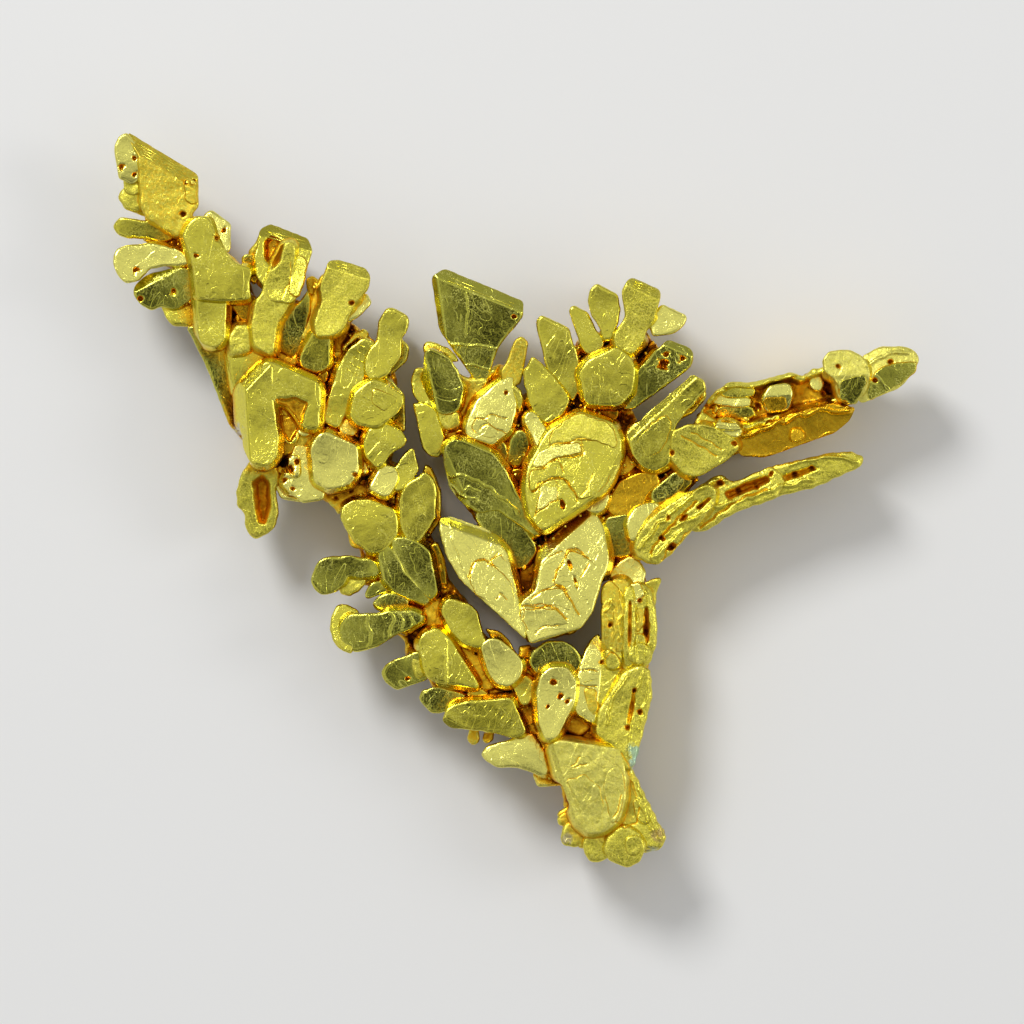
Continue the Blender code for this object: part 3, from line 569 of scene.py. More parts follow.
def face_surface(name, flat, distance, radius, top_of, seed):
    """The height of each point of a face, the painted shade of the mark it lies in, and the painted
    highlight of its rounded rim.
    """
    size = FINISHES[finish_of(name)][2]
    marked, sunk = relief(flat) if name not in UNMARKED else np.zeros((2, len(flat)))
    wear = radius * np.clip(0.85 + 0.4 * swell(flat, 1.3, seed + 4), 0.4, 1.4)
    down = np.maximum(rim_drop(distance, wear, radius * 0.9), bevelled(flat, BEVELS.get(name, [])))
    ripples = size * swell(flat, 0.9, seed + 1) + size * 0.35 * swell(flat, 0.3, seed + 2)
    ripples += BROAD_SWELL * swell(flat, 3.0, seed + 9)
    z = top_of(flat) - down + marked * (1 - np.exp(-distance / MARK_FADE)) + ripples
    rim_highlight = np.exp(-(distance / (0.5 * wear)) ** 2) * (0.6 + 0.4 * swell(flat, 0.9, seed + 6)).clip(0, 1)
    return np.minimum(z, HIGHEST), sunk, rim_highlight


print("no face is higher than", round(HIGHEST, 2), "mm")

# %% The side and the back of a shell
BACK_RIM = 0.2  # radius of the rim of a back
BACK_DROP = 0.12  # how far that rim rises above the back
# The painted shade on a side deepens down to this depth.
FULL_SHADE_DEPTH = 1.4  # the depth from which a side in a gap is at its most orange


class Side(NamedTuple):
    """How a side runs down from the rim. The last two may be numbers or one number for each point."""
    reach: float  # how far it narrows towards the back
    # Painted bounce light from the neighbours makes a side orange below the rim.
    bounce_orange: float = 0.12  # how orange it is below the rim
    settle: float = 0.4  # the depth over which it flares
    flare: object = 0.0  # how far it spreads below the rim
    crowd: object = 1.0  # how close other crystals stand, from 0 to 1


def side_rows(ring, drawn, tops, bottom, side, seed):
    """The rows of points down a side that is drawn in towards its back, and how orange each point is
    painted: painted bounce light below the rim, and painted shade that grows with depth.
    """
    outward = outward_of(ring)
    rows, deep = [], []
    for share in SIDE_LEVELS:
        height = tops * (1 - share) + (bottom + BACK_DROP) * share
        depth = tops - height
        wave = np.sin(height * 5.0 + seed)
        wave = wave + 0.6 * swell(ring + height[:, None] * (0.9, 1.3), 0.8, seed + 7)
        layer = LAYER * min(side.reach / UNDERCUT, 1) * (1 + wave / 1.6)
        layer = layer * min(share / 0.15, 1) * (1 - 0.6 * side.crowd)
        push = side.flare * (1 - np.exp(-depth / side.settle)) * (1 - share ** 3)
        flat = ring + drawn * share ** 0.8 - outward * (layer - push)[:, None]
        rows.append(np.column_stack([flat, height]))
        shade = np.minimum(depth / FULL_SHADE_DEPTH, 1) * (0.22 + 0.78 * side.crowd)
        deep.append(np.clip(side.bounce_orange + shade, 0, 1))
    return rows, np.concatenate(deep)


def back_surface(ring, bottom, grain, seed):
    """The back inside a ring: its points, its triangles and each point's distance to the ring."""
    grid, away = honeycomb(ring, grain)
    core = grid[away > 0.6 * grain] if len(grid) else grid
    flat, triangles = triangulated(ring, core)
    distance = edge_distance(flat, ring)
    z = bottom + rim_drop(distance, BACK_RIM, BACK_DROP)
    if bottom > 0.05:
        z += 0.05 * np.abs(swell(flat, 1.1, seed + 3))
    return np.column_stack([flat, z]), triangles, distance


def walls(starts, count):
    """The four-sided faces between rows of points that start at the given numbers."""
    faces = []
    for upper, lower in zip(starts[:-1], starts[1:]):
        for i in range(count):
            j = (i + 1) % count
            faces.append((upper + i, lower + i, lower + j, upper + j))
    return faces


print(len(SIDE_LEVELS), "rows of points on a side")

# %% A closed shell
SHELLS = []  # (group, name, points, faces, masks) of every closed shell, in millimetres
FRONTS = []  # the points of the faces inside their rims


def shell(piece, ring, top_of, bottom, rim, grain, back_grain, side, seed):
    """A closed shell: a face over the ring, a side that flares and then narrows, and a back."""
    group, name = piece
    brightness, warmth = FINISHES[finish_of(name)][3:]
    grid, away = honeycomb(ring, grain)
    radius = min(rim, 0.6 * away.max()) if len(away) else rim * 0.3
    core = grid[away > radius * 1.15] if len(grid) else grid
    flat, triangles = triangulated(ring, face_points(ring, radius, core, grain))
    count = len(ring)
    distance = edge_distance(flat, ring)
    distance[:count] = 0.0
    z, sunk, rim_highlight = face_surface(name, flat, distance, radius, top_of, seed)
    front = np.column_stack([flat, z])
    if not name.startswith("bed"):
        FRONTS.append(front[distance > 0.10])

    to_middle = ring.mean(axis=0) - ring
    narrow = min(side.reach / np.hypot(*to_middle.T).mean(), 0.5)
    rows, deep = side_rows(ring, to_middle * narrow, z[:count], bottom, side, seed)
    back_ring = ring + to_middle * (narrow + 0.03)
    back, back_triangles, back_distance = back_surface(back_ring, bottom, back_grain, seed)

    points = np.vstack([front] + rows + [back])
    starts = [0] + [len(front) + count * level for level in range(len(rows) + 1)]
    faces = [tuple(face) for face in triangles] + walls(starts, count)
    faces += [tuple(face[::-1] + starts[-1]) for face in back_triangles]
    walled = [np.ones(len(front)), np.tile(side.crowd * np.ones(count), len(rows)), np.zeros(len(back))]
    # The rim mask is a painted highlight on the rounded rims that fades down the side, the sunk mask is
    # painted bounce light and painted shade, and the third mask is the finish's painted reflection.
    masks = {
        "rim": np.concatenate([rim_highlight, 0.5 * np.exp(-deep * 5), np.exp(-(back_distance / 0.15) ** 2)]),
        "sunk": np.concatenate([sunk + warmth, deep, np.full(len(back), 0.15)]),
        "painted_reflection": np.full(len(points), brightness),
        "walled": np.concatenate(walled),
    }
    SHELLS.append((group, name, points, faces, masks))


print("ready to make shells")

# %% Crystals, growth plates and beds
FACES = {}  # each crystal's group and the height of its face, for what stands on it
PLATE_SIDE = Side(reach=0.0, bounce_orange=0.42, settle=0.05, flare=0.085)


def seed_of(name):
    """A seed of its own for each name."""
    return sum(ord(letter) * (i + 1) for i, letter in enumerate(name))


def centre_of(corners):
    """The middle of the area inside an outline."""
    after = np.roll(corners, -1, axis=0)
    cross = corners[:, 0] * after[:, 1] - corners[:, 1] * after[:, 0]
    return ((corners + after) * cross[:, None]).sum(axis=0) / (3 * cross.sum())


def grown(piece, top, bottom, slope, outline):
    """One flat crystal of the specimen, from the same numbers as in the solid."""
    name = piece[1]
    finish = finish_of(name)
    lean_x, lean_y = FINISHES[finish][:2]
    corners = sheet(outline)
    area = abs(signed_area(corners))
    middle = centre_of(corners)
    right = slope[0] + DICE.uniform(-JITTER, JITTER)
    up = slope[1] + DICE.uniform(-JITTER, JITTER) + TILTS.get(name, 0.0)
    turn = np.array((right + lean_x, up + lean_y))
    bend = DICE.uniform(-BOW, BOW) / np.sqrt(area / np.pi)

    def top_of(points):
        away = points - middle
        return top + away @ turn + bend / 2 * (away * away).sum(axis=1)

    FACES[name] = (piece[0], top_of)
    seed = seed_of(name)
    rim = RIM * (1.35 if finish == "rough" else 1.0) * (0.8 if area < 1.5 else 1.0)
    ring = rippled(outline, GRAIN, seed, 0.035 if finish == "rough" else 0.016)
    ring, room = spread_out(ring)
    side = Side(UNDERCUT, flare=FLARE * room, crowd=room)
    shell(piece, ring, top_of, bottom, rim, GRAIN, BACK_GRAIN, side, seed)


def plate(parent, rise, lean, outline, finish=None):
    """A growth step: a thin plate with a ragged edge on a crystal's face, in its finish or another."""
    group, face_of = FACES[parent]
    corners = pairs(outline)
    seed = int(corners[0, 0] * 7 + corners[0, 1])
    ring = rippled(corners, GRAIN, seed, 0.05)
    middle = ring.mean(axis=0)

    def top_of(points):
        return face_of(points) + rise + (points - middle) @ np.array(lean)

    bottom = min(face_of(ring).min(), top_of(ring).min()) - 0.25
    shell((group, finish or parent), ring, top_of, bottom, 0.05, GRAIN * 1.3, 0.4, PLATE_SIDE, seed)


def grown_bed(piece, top, bottom, outline):
    """The rough gold that the crystals stand on: a lumpy plate."""
    seed = sum(ord(letter) for letter in piece[1])
    ring = rippled(outline, 0.14, seed, 0.05)

    def top_of(points):
        lumps = 0.22 * swell(points, 1.3, seed + 5) + 0.14 * swell(points, 0.5, seed + 6)
        return top + 0.15 + lumps

    side = Side(0.35, crowd=0.5 * spread_out(ring)[1])
    shell(piece, ring, top_of, bottom, 0.45, 0.15, 0.24, side, seed)


print("ready to grow crystals")

# %% [markdown]
# The crystals are named first and grown later, because a crystal has to know how much room there is
# around it. Each line gives a name, the height of the face and of the back in millimetres, the slope of
# the face, and the outline on the grid, as x,y for each corner. A bed has no slope.

# %% The table begins
BEDS = []
CRYSTALS = []
group = "none"  # the branch that the next lines belong to


def bed(name, top, bottom, outline):
    """Notes a bed for later."""
    BEDS.append(((group, name), top, bottom, pairs(outline)))


def crystal(name, top, bottom, slope, outline):
    """Notes a crystal for later."""
    CRYSTALS.append(((group, name), top, bottom, slope, pairs(outline)))


print("ready for the table")

# %% [markdown]
# The crystals stand on beds of rough gold, which show only in the gaps. They are drawn first.

# %% Beds
group = "beds"
bed("bed_tip", 4.4, 2.3,
    "150,222 186,224 214,238 246,268 256,300 252,352 222,354 192,326 172,300 168,262")
bed("bed_left", 4.3, 2.0,
    "236,340 262,292 300,300 330,296 352,322 388,350 398,380 392,462 412,470 428,500 426,535 396,548 "
    "356,530 338,508 280,484 244,440")
bed("bed_lower_left", 4.2, 1.9,
    "356,520 426,520 450,580 470,604 484,634 532,664 530,720 500,728 440,704 428,680 404,676 404,640 "
    "378,626 392,600 362,585")
bed("bed_centre", 4.4, 1.8,
    "422,396 440,400 474,372 502,362 520,396 556,372 578,338 606,330 644,328 664,352 654,376 628,398 "
    "640,424 690,452 700,480 660,524 640,566 602,584 576,634 528,644 500,606 462,566 446,534 478,526 "
    "450,484 440,452 426,446")
bed("bed_trunk", 4.3, 1.6,
    "520,648 534,646 584,656 606,640 610,570 644,568 652,600 648,700 628,760 640,810 630,850 590,850 "
    "566,822 560,784 520,764 508,730 524,700")
bed("bed_upper_arm", 4.4, 2.0, "668,440 700,418 726,394 826,374 880,360 900,370 820,426 770,448 684,466")
bed("bed_lower_arm", 4.4, 2.6, "640,544 664,516 712,490 846,460 850,466 744,500 700,526 662,556")

# %% [markdown]
# The left branch ends in a blade with a broad bevel, and small fingers below it.

# %% Left branch, from its tip
group = "left"
crystal("tip_blade", 5.6, 4.0, TO_CREST, "127,131 198,174 199,206 178,236 143,215 139,152")
crystal("tip_lobe", 5.4, 3.8, LEVEL, "127,131 141,152 139,178 131,184 118,179 113,146 118,136")
crystal("tip_knob", 5.1, 3.8, LEVEL, "127,185 139,184 143,206 138,214 124,209 117,198 119,190")
crystal("tip_finger", 5.0, 3.4, TO_FOOT, "119,216 160,222 176,233 168,240 124,238 115,233 112,225")
crystal("tip_sliver", 4.5, 3.0, TO_FOOT, "140,238 168,238 190,248 184,256 158,250")
crystal("fist", 5.7, 3.4, TO_CREST,
        "124,245 148,243 178,251 190,262 150,269 138,281 126,284 118,277 112,262 115,250")
crystal("fan_face", 5.2, 3.0, TO_FOOT,
        "134,285 148,273 168,269 190,270 192,298 176,307 160,307 151,311 139,304 132,294")
crystal("skirt", 4.7, 2.6, TO_CREST, "160,305 198,300 200,327 172,326 165,318")
crystal("stem_head", 6.4, 0.0, LEVEL,
        "184,235 196,215 208,217 216,240 236,262 250,270 251,298 224,300 198,298 193,260")
crystal("stem_shaft", 6.2, 0.8, LEVEL, "197,296 225,298 224,340 215,347 200,342")
crystal("side_nub", 5.9, 4.0, TO_CREST, "203,214 211,209 231,223 231,252 222,252 208,236")
crystal("leaf_bud", 5.4, 3.0, TO_FOOT, "240,258 246,253 257,259 259,275 254,286")
crystal("notch_gem", 5.2, 2.0, TO_FOOT, "228,299 250,299 252,320 243,320")
crystal("hook", 6.0, 2.0, LEVEL, "230,336 237,326 247,325 251,333 249,352 231,355")
crystal("pane", 5.6, 1.5, LEVEL, "228,350 262,352 268,362 236,395")
crystal("hull", 4.6, 2.6, TO_FOOT, "186,327 199,328 232,352 242,395 243,442 228,425 206,368")

# %% [markdown]
# Blocky crystals with flat tops stand along the crest.

# %% Crest of the left branch
crystal("crest_one", 6.0, 4.0, TO_CREST,
        "260,229 270,223 308,238 313,250 300,296 290,302 272,300 258,278 256,245")
crystal("crest_one_body", 6.3, 1.2, LEVEL,
        "284,245 294,243 291,300 276,324 272,354 256,346 253,326 257,300")
crystal("crest_leaf", 5.4, 1.6, TO_FOOT, "308,289 309,312 299,348 291,360 277,348 274,337")
crystal("crest_rib", 5.0, 3.4, LEVEL, "305,279 312,274 319,280 318,300 309,314")
crystal("crest_two", 6.4, 4.2, LEVEL,
        "328,261 337,259 366,268 371,276 369,290 353,303 347,322 336,334 317,336 316,322 324,300 "
        "321,282")
crystal("crest_two_spur", 5.8, 4.2, TO_CREST, "366,292 373,302 358,319 346,322 347,308")
crystal("crest_two_foot", 5.9, 1.3, TO_FOOT, "314,332 329,335 328,366 317,372 302,367 301,356")
crystal("crest_three", 5.9, 1.5, LEVEL,
        "378,320 386,308 393,307 409,316 409,329 402,339 400,358 389,373 372,380 366,370 367,357 "
        "376,342")
crystal("crest_three_ear", 5.2, 3.8, TO_FOOT, "400,337 410,346 408,360 394,373 384,378")
crystal("strut", 5.8, 1.0, LEVEL, "350,350 366,337 375,343 365,362 361,385 337,427 323,420 340,366")
crystal("strut_head", 5.2, 3.6, TO_CREST, "343,348 354,334 364,327 370,334 362,347 348,360")

# %% [markdown]
# A large tablet with a recess, and kite-shaped crystals beside it.

# %% Middle of the left branch
crystal("slab", 7.0, 0.0, LEVEL,
        "239,390 262,366 272,365 272,398 278,440 276,457 266,466 250,462 243,448")
crystal("slab_arm", 6.9, 1.0, LEVEL, "264,364 271,363 318,384 320,394 318,428 306,428 290,405 266,398")
crystal("slab_floor", 5.9, 0.9, TO_FOOT, "268,392 317,398 318,432 298,452 276,454")
crystal("step_block", 6.6, 0.6, LEVEL, "312,448 318,437 326,433 356,447 358,470 349,484 328,488 316,482")
crystal("ledge", 6.0, 1.3, LEVEL, "296,445 316,450 324,500 302,504 283,484")
crystal("ledge_corner", 5.1, 3.0, TO_CREST, "278,472 296,478 302,503 280,499 276,488")
crystal("bridge", 5.1, 1.2, TO_CREST, "316,488 360,484 396,498 398,514 345,512 338,515")
crystal("kite_upper", 6.5, 0.9, LEVEL,
        "356,393 371,382 378,382 403,393 405,402 402,408 378,427 358,424 351,415")
crystal("kite_lower", 6.4, 1.3, LEVEL,
        "365,441 370,429 382,424 403,432 408,440 405,446 394,452 378,467 367,456")
crystal("kite_back", 5.4, 3.6, TO_FOOT, "381,378 392,381 405,394 406,432 388,430 378,400")
crystal("pale_wedge", 6.2, 2.0, TO_CREST, "382,466 395,466 397,480 387,496 370,488")
crystal("dart", 5.9, 1.4, LEVEL, "395,490 393,471 402,455 413,446 420,470 407,486")
crystal("thumb", 5.2, 2.8, TO_FOOT,
        "250,460 268,462 278,472 276,488 279,514 275,528 262,538 253,540 245,530 243,512 236,507 236,488 "
        "241,472")

# %% [markdown]
# Leaf-like crystals step down towards the foot, one above the other.

# %% Lower left side
group = "lower_left"
crystal("saddle", 6.0, 0.8, LEVEL,
        "341,509 354,501 372,501 394,511 397,522 396,535 384,550 370,552 354,543 340,520")
crystal("saddle_lip", 4.8, 3.4, TO_CREST, "345,526 360,536 368,552 350,547")
crystal("oval", 6.1, 1.0, LEVEL,
        "401,498 407,486 424,471 434,478 438,492 436,514 430,529 418,541 409,540 402,526")
crystal("oval_back", 5.0, 3.4, TO_FOOT, "424,463 432,467 442,492 441,520 430,537 418,500")
crystal("pod_left", 5.8, 1.1, TO_FOOT, "382,543 394,552 404,572 430,600 424,605 396,592 384,579 380,560")
crystal("pod_right", 5.9, 1.3, TO_FOOT, "393,540 404,538 421,545 429,553 437,592 431,600 414,582 393,550")
crystal("green_sliver", 5.0, 1.6, TO_FOOT, "430,546 437,540 446,562 448,586 436,580")
crystal("bead", 5.5, 3.2, LEVEL,
        "318,560 328,556 352,555 374,562 378,574 362,577 348,574 338,592 322,596 313,589 310,578")
crystal("bead_low", 5.2, 3.4, LEVEL, "344,574 356,571 366,580 362,590 351,597 340,595 338,584")
crystal("curl", 5.2, 3.6, LEVEL, "364,597 366,589 374,583 390,582 388,590 368,600")
crystal("pebble", 5.3, 3.2, TO_FOOT, "371,603 380,595 398,595 408,601 405,609 386,612 375,610")
crystal("paddle", 5.9, 1.8, TO_FOOT, "340,632 344,621 354,613 414,612 424,618 378,647 357,653 345,649")
crystal("paddle_horn", 5.4, 3.6, TO_CREST,
        "329,628 331,615 337,604 347,604 360,611 352,655 340,650 333,642")
crystal("finger_low", 5.4, 1.6, TO_FOOT,
        "380,673 385,665 396,658 419,653 428,664 428,680 396,691 385,683")
crystal("lozenge", 6.0, 1.0, LEVEL, "419,642 425,633 436,629 447,637 479,687 428,680")
crystal("shoe", 5.2, 3.2, TO_FOOT, "418,700 421,690 436,687 464,696 462,706 440,714 431,714")
crystal("ploughshare", 6.0, 1.2, TO_FOOT,
        "441,720 447,709 463,703 511,699 525,732 512,738 490,732 449,728")
crystal("stud_left", 4.8, 3.4, TO_CREST, "466,740 470,728 478,728 481,741 473,747")
crystal("stud_right", 4.6, 3.3, TO_CREST, "481,740 485,728 495,730 494,742 485,745")
crystal("plough", 5.6, 1.0, LEVEL,
        "480,754 487,745 533,734 542,750 549,772 541,776 517,768 497,768 485,761")
crystal("plough_tail", 4.7, 2.8, TO_CREST, "532,774 546,764 566,786 537,788")
crystal("bean", 6.1, 0.8, LEVEL, "442,610 448,600 468,602 478,611 486,642 478,647 465,643 452,630")
crystal("bean_low", 6.2, 0.6, LEVEL,
        "482,646 489,637 505,642 517,652 522,666 518,678 508,685 497,682 490,672")
crystal("bean_back", 5.0, 2.0, TO_FOOT, "484,628 498,630 508,638 517,654 498,650")
crystal("tooth", 5.6, 1.6, LEVEL, "512,680 524,676 534,684 532,700 523,705")
crystal("pip", 5.3, 2.6, LEVEL, "468,693 478,689 487,694 484,702 470,702")

# %% [markdown]
# A ring of leaves round a rough shell, with a V of two large leaves below it.

# %% Centre fan
group = "centre"
crystal("crown_blade", 5.6, 4.0, TO_FOOT,
        "431,277 444,268 524,301 523,318 500,345 486,381 476,383 439,330")
crystal("bract", 5.8, 1.6, TO_FOOT,
        "424,352 430,349 449,358 459,370 462,388 459,406 453,413 440,413 432,406 423,366")
crystal("bract_cap", 5.2, 3.6, TO_CREST, "422,350 423,343 429,340 450,348 460,362 428,360")
crystal("bract_side", 5.2, 3.6, LEVEL, "410,379 415,367 424,367 434,412 424,408 412,395")
crystal("long_leaf", 5.6, 1.5, LEVEL, "412,402 422,403 434,411 443,440 440,458 430,457 422,449")
crystal("book", 5.9, 0.8, TO_CREST, "500,382 513,375 515,408 509,430 492,444 467,435 467,424 476,402")
crystal("finger_tip", 5.4, 3.2, LEVEL, "514,340 522,335 529,342 521,384 508,388 502,372")
crystal("shard", 6.2, 3.0, TO_CREST, "525,418 530,413 535,415 546,432 544,446 539,447")
crystal("eye_small", 5.4, 2.6, TO_FOOT, "495,445 500,441 505,446 506,459 500,463 495,458")
crystal("eye_large", 5.5, 2.6, TO_FOOT, "512,438 520,430 528,438 528,450 520,466 507,464")
crystal("eye_low", 5.2, 2.4, TO_FOOT, "507,472 521,470 521,481 510,481")
crystal("big_leaf", 6.2, 1.0, TO_FOOT,
        "443,460 446,448 453,441 462,442 493,455 504,470 538,536 497,508 478,512 463,505 449,488")
crystal("big_leaf_low", 5.7, 1.2, TO_FOOT,
        "474,518 484,503 497,506 520,522 534,545 535,553 526,566 515,568")
crystal("wing_left", 6.6, 0.8, TO_CREST,
        "438,528 441,518 450,516 476,525 493,537 506,553 526,640 460,580 446,556")
crystal("wing_right", 6.8, 0.0, TO_CREST,
        "583,514 595,515 603,528 608,560 594,610 582,628 530,644 521,625 522,603 536,592 545,550 "
        "563,530")
crystal("shell", 6.9, 0.8, TO_CREST,
        "548,432 580,413 614,425 620,441 619,458 610,480 601,492 543,530 531,515 526,490 529,466")
crystal("lobe_a", 5.7, 4.0, LEVEL, "535,322 541,314 570,328 580,375 579,388 571,401 546,368")
crystal("lobe_b", 5.9, 1.2, LEVEL, "523,373 532,355 541,362 569,399 562,413 548,422 537,415 524,386")
crystal("lobe_c", 5.6, 4.0, LEVEL, "568,310 573,304 588,312 603,343 598,353 588,353 578,339")
crystal("lobe_d", 5.9, 4.1, LEVEL, "587,300 590,288 597,283 618,294 621,310 618,326 607,341 591,315")
crystal("lobe_e", 6.2, 1.4, LEVEL,
        "621,292 626,281 632,277 661,290 660,302 645,336 632,353 616,346 616,332 625,317")
crystal("lobe_e_knob", 5.8, 4.0, TO_CREST, "648,322 662,303 688,316 685,326 672,335 652,337")
crystal("hexagon", 6.4, 0.9, LEVEL, "580,373 587,362 617,348 631,360 634,372 631,392 619,405 587,403")
crystal("holed_leaf", 6.0, 3.6, TO_FOOT,
        "667,339 689,347 694,354 693,364 686,372 632,411 620,405 641,369")
crystal("broad_leaf", 6.5, 1.1, TO_FOOT,
        "628,436 645,415 693,374 705,381 707,391 698,397 676,426 668,463 656,470 643,466 633,453")
crystal("broad_side", 5.6, 3.4, LEVEL, "705,385 707,398 694,413 678,421 684,402 694,389")
crystal("gem_upper", 5.2, 1.8, TO_FOOT, "592,410 604,402 619,403 616,418 602,420")
crystal("gem_side", 5.3, 1.8, LEVEL, "616,457 632,449 636,463 626,473 611,474")
crystal("amber", 5.6, 1.2, TO_FOOT,
        "609,501 620,483 635,475 655,473 659,483 646,493 640,511 622,517 610,511")
crystal("pale_shard", 6.0, 2.0, TO_CREST, "583,503 600,490 608,495 605,506 598,512 588,509")
crystal("cell_dark", 5.4, 2.0, TO_FOOT, "607,519 628,516 633,540 632,553 616,557 606,549")
crystal("cell_right", 5.7, 2.6, TO_FOOT, "652,493 675,473 691,478 693,485 668,501 654,503")
crystal("pearl", 6.0, 2.4, TO_CREST, "627,521 636,508 650,503 661,506 658,520 632,541")

# %% [markdown]
# The arms are rough troughs with worn rims.

# %% Upper arm
group = "arms"
crystal("arm_root", 6.5, 0.8, LEVEL,
        "673,430 690,423 716,430 733,440 738,449 730,459 699,477 685,473 672,459")
crystal("arm_keel", 5.8, 0.0, TO_FOOT, "735,440 792,415 830,405 856,407 850,421 835,433 765,458 740,456")
crystal("arm_crest", 5.4, 1.2, LEVEL,
        "712,393 730,381 752,382 791,371 803,376 813,368 826,366 842,380 846,398 830,408 790,418 740,436 "
        "692,424")
crystal("arm_button", 6.4, 4.6, TO_CREST, "714,427 722,421 735,424 741,431 736,437 724,434")
crystal("arm_bump", 5.9, 4.4, TO_CREST, "764,397 770,387 788,385 792,392 786,408 768,410")
crystal("arm_knuckle", 6.4, 1.6, TO_CREST,
        "821,361 828,351 848,349 863,356 869,373 856,406 842,398 837,379 824,370")
crystal("arm_tip", 6.0, 3.0, TO_CREST,
        "862,356 880,346 905,346 916,351 920,360 912,375 900,388 861,404 856,396 864,380")

# %% [markdown]
# The lower arm is thinner and pitted.

# %% Lower arm
crystal("lower_root", 6.4, 1.2, LEVEL,
        "634,547 640,532 652,518 704,482 716,490 712,506 673,554 657,566 642,562")
crystal("lower_mid", 6.0, 1.8, LEVEL,
        "702,484 711,477 722,474 733,482 772,465 785,480 778,498 735,513 706,532 690,532")
crystal("lower_end", 5.8, 2.8, LEVEL, "768,467 830,452 853,451 865,457 863,466 815,488 774,498")

# %% [markdown]
# Corrugated columns carry the arms.

# %% Right column
group = "foot"
crystal("neck", 5.4, 1.4, TO_CREST, "608,577 617,566 630,557 643,564 647,573 642,586")
crystal("column_left", 6.3, 1.0, LEVEL, "600,607 612,580 625,580 631,590 625,650 612,652 601,640")
crystal("column_right", 6.1, 1.6, LEVEL,
        "629,592 640,583 651,590 657,612 658,640 651,663 640,671 624,670")
crystal("column_ear", 5.4, 3.4, LEVEL, "643,584 651,578 660,577 662,581 657,592 656,608")
crystal("column_low", 6.3, 0.9, LEVEL,
        "597,733 599,712 624,673 640,666 651,669 653,695 635,766 628,771 618,748")
crystal("blade_left", 6.0, 1.2, TO_CREST, "584,649 592,637 600,633 602,660 594,723 577,712 574,700")
crystal("blade_right", 5.9, 1.6, TO_CREST, "600,662 610,648 621,655 620,672 601,712 598,692")
crystal("dome", 5.8, 1.6, TO_FOOT,
        "530,663 534,649 546,641 562,640 573,645 581,655 579,669 565,675 540,675")
crystal("cushion", 6.5, 0.9, LEVEL,
        "538,692 542,676 550,668 566,668 575,680 574,700 556,736 547,739 540,722")

# %% [markdown]
# The foot is one flat tablet over a cluster of lumps.

# %% Foot
crystal("foot_plate", 6.6, 0.0, LEVEL,
        "551,746 560,741 620,750 625,766 624,800 618,820 605,830 590,833 578,825 558,775")
crystal("foot_flank", 5.8, 1.4, LEVEL, "616,746 634,771 667,838 661,850 642,850 614,832 624,800")
crystal("lump_a", 5.2, 2.6, LEVEL, "555,815 566,806 575,810 580,830 566,829")
crystal("lump_b", 5.6, 2.2, LEVEL, "559,838 563,826 574,822 588,832 586,847 572,848 562,845")
crystal("lump_c", 5.9, 1.8, LEVEL, "582,850 587,836 600,829 611,840 611,856 600,863 589,862")
crystal("lump_d", 6.2, 1.4, LEVEL, "604,850 609,835 622,826 640,834 646,848 641,862 628,868 613,863")
crystal("lump_e", 5.4, 2.4, LEVEL, "638,834 652,826 664,828 667,839 661,850 643,854")
print(len(CRYSTALS), "crystals in the table")

# %% [markdown]
# Smaller crystals and webs of gold fill the gaps between the large ones. They are too small for the plain
# solid, whose beds stand in for them, so they are only here. Webs are rough, and small panes take the
# finish of their neighbours.

# %% Small crystals in the gaps
ROUGH += """tip_web tip_web_low crest_two_side web_crest strap_a strap_b strap_c ferrule plough_strap
    amber_patch web_low cup_small web_a book_side strap_eyes web_left web_top crest_one_back web_fan
    web_mid dome_web column_web slot_web lump_f lump_g lump_h lump_i lump_j lump_k lump_l column_rib
    column_bead column_bead_low tip_root""".split()
BRIGHT += "leaf_foot cell_a cell_b ledge_peg book_foot window_c sliver_a trough_shard".split()
MIRROR += "comb window_b eye_side".split()
group = "left"
crystal("tip_web", 4.9, 4.1, LEVEL, "128,146 144,150 146,216 134,214 127,188")
crystal("tip_web_low", 4.6, 3.4, LEVEL, "142,212 176,232 172,250 150,244 146,228")
crystal("web_top", 4.95, 3.6, LEVEL, "176,228 190,214 204,222 196,240 190,268 180,256")
crystal("crest_one_back", 5.2, 3.6, TO_FOOT, "247,252 254,243 259,234 264,262 263,290 255,284 250,262")
crystal("web_left", 5.05, 3.2, LEVEL, "250,292 258,296 256,330 252,352 244,346 248,318")
crystal("leaf_foot", 5.1, 3.0, TO_CREST, "271,350 284,356 293,360 300,350 300,358 290,368 275,364")
crystal("crest_two_side", 5.35, 3.4, LEVEL,
        "321,274 330,270 326,300 316,328 306,340 301,336 310,306 315,286")
crystal("web_crest", 4.85, 3.0, LEVEL, "330,338 348,322 342,360 330,400 324,428 315,410 318,385 322,370")
crystal("comb", 5.3, 3.4, TO_FOOT, "302,367 327,371 323,384 306,378")
crystal("window_bar", 6.4, 5.0, LEVEL, "268,392 276,383 300,388 314,400 306,404 286,402 272,397")
crystal("window_a", 6.1, 5.0, LEVEL, "284,404 292,406 300,418 296,442 286,442 282,420")
crystal("window_b", 6.2, 5.0, TO_FOOT, "300,404 314,403 317,426 308,420")
crystal("window_c", 6.1, 5.0, TO_CREST, "299,420 306,423 315,429 304,436 298,430")
crystal("window_d", 6.2, 5.0, LEVEL, "272,402 279,404 280,428 276,432 271,415")
crystal("ledge_peg", 6.2, 4.8, TO_CREST, "290,456 298,458 298,476 291,474")
crystal("cell_a", 5.7, 4.0, TO_CREST, "344,419 359,425 353,435 340,432")
crystal("cell_b", 5.7, 4.0, TO_CREST, "356,448 364,460 368,472 360,472 355,460")
group = "lower_left"
crystal("web_mid", 5.05, 3.2, LEVEL, "386,494 400,486 404,520 402,544 392,540 396,514")
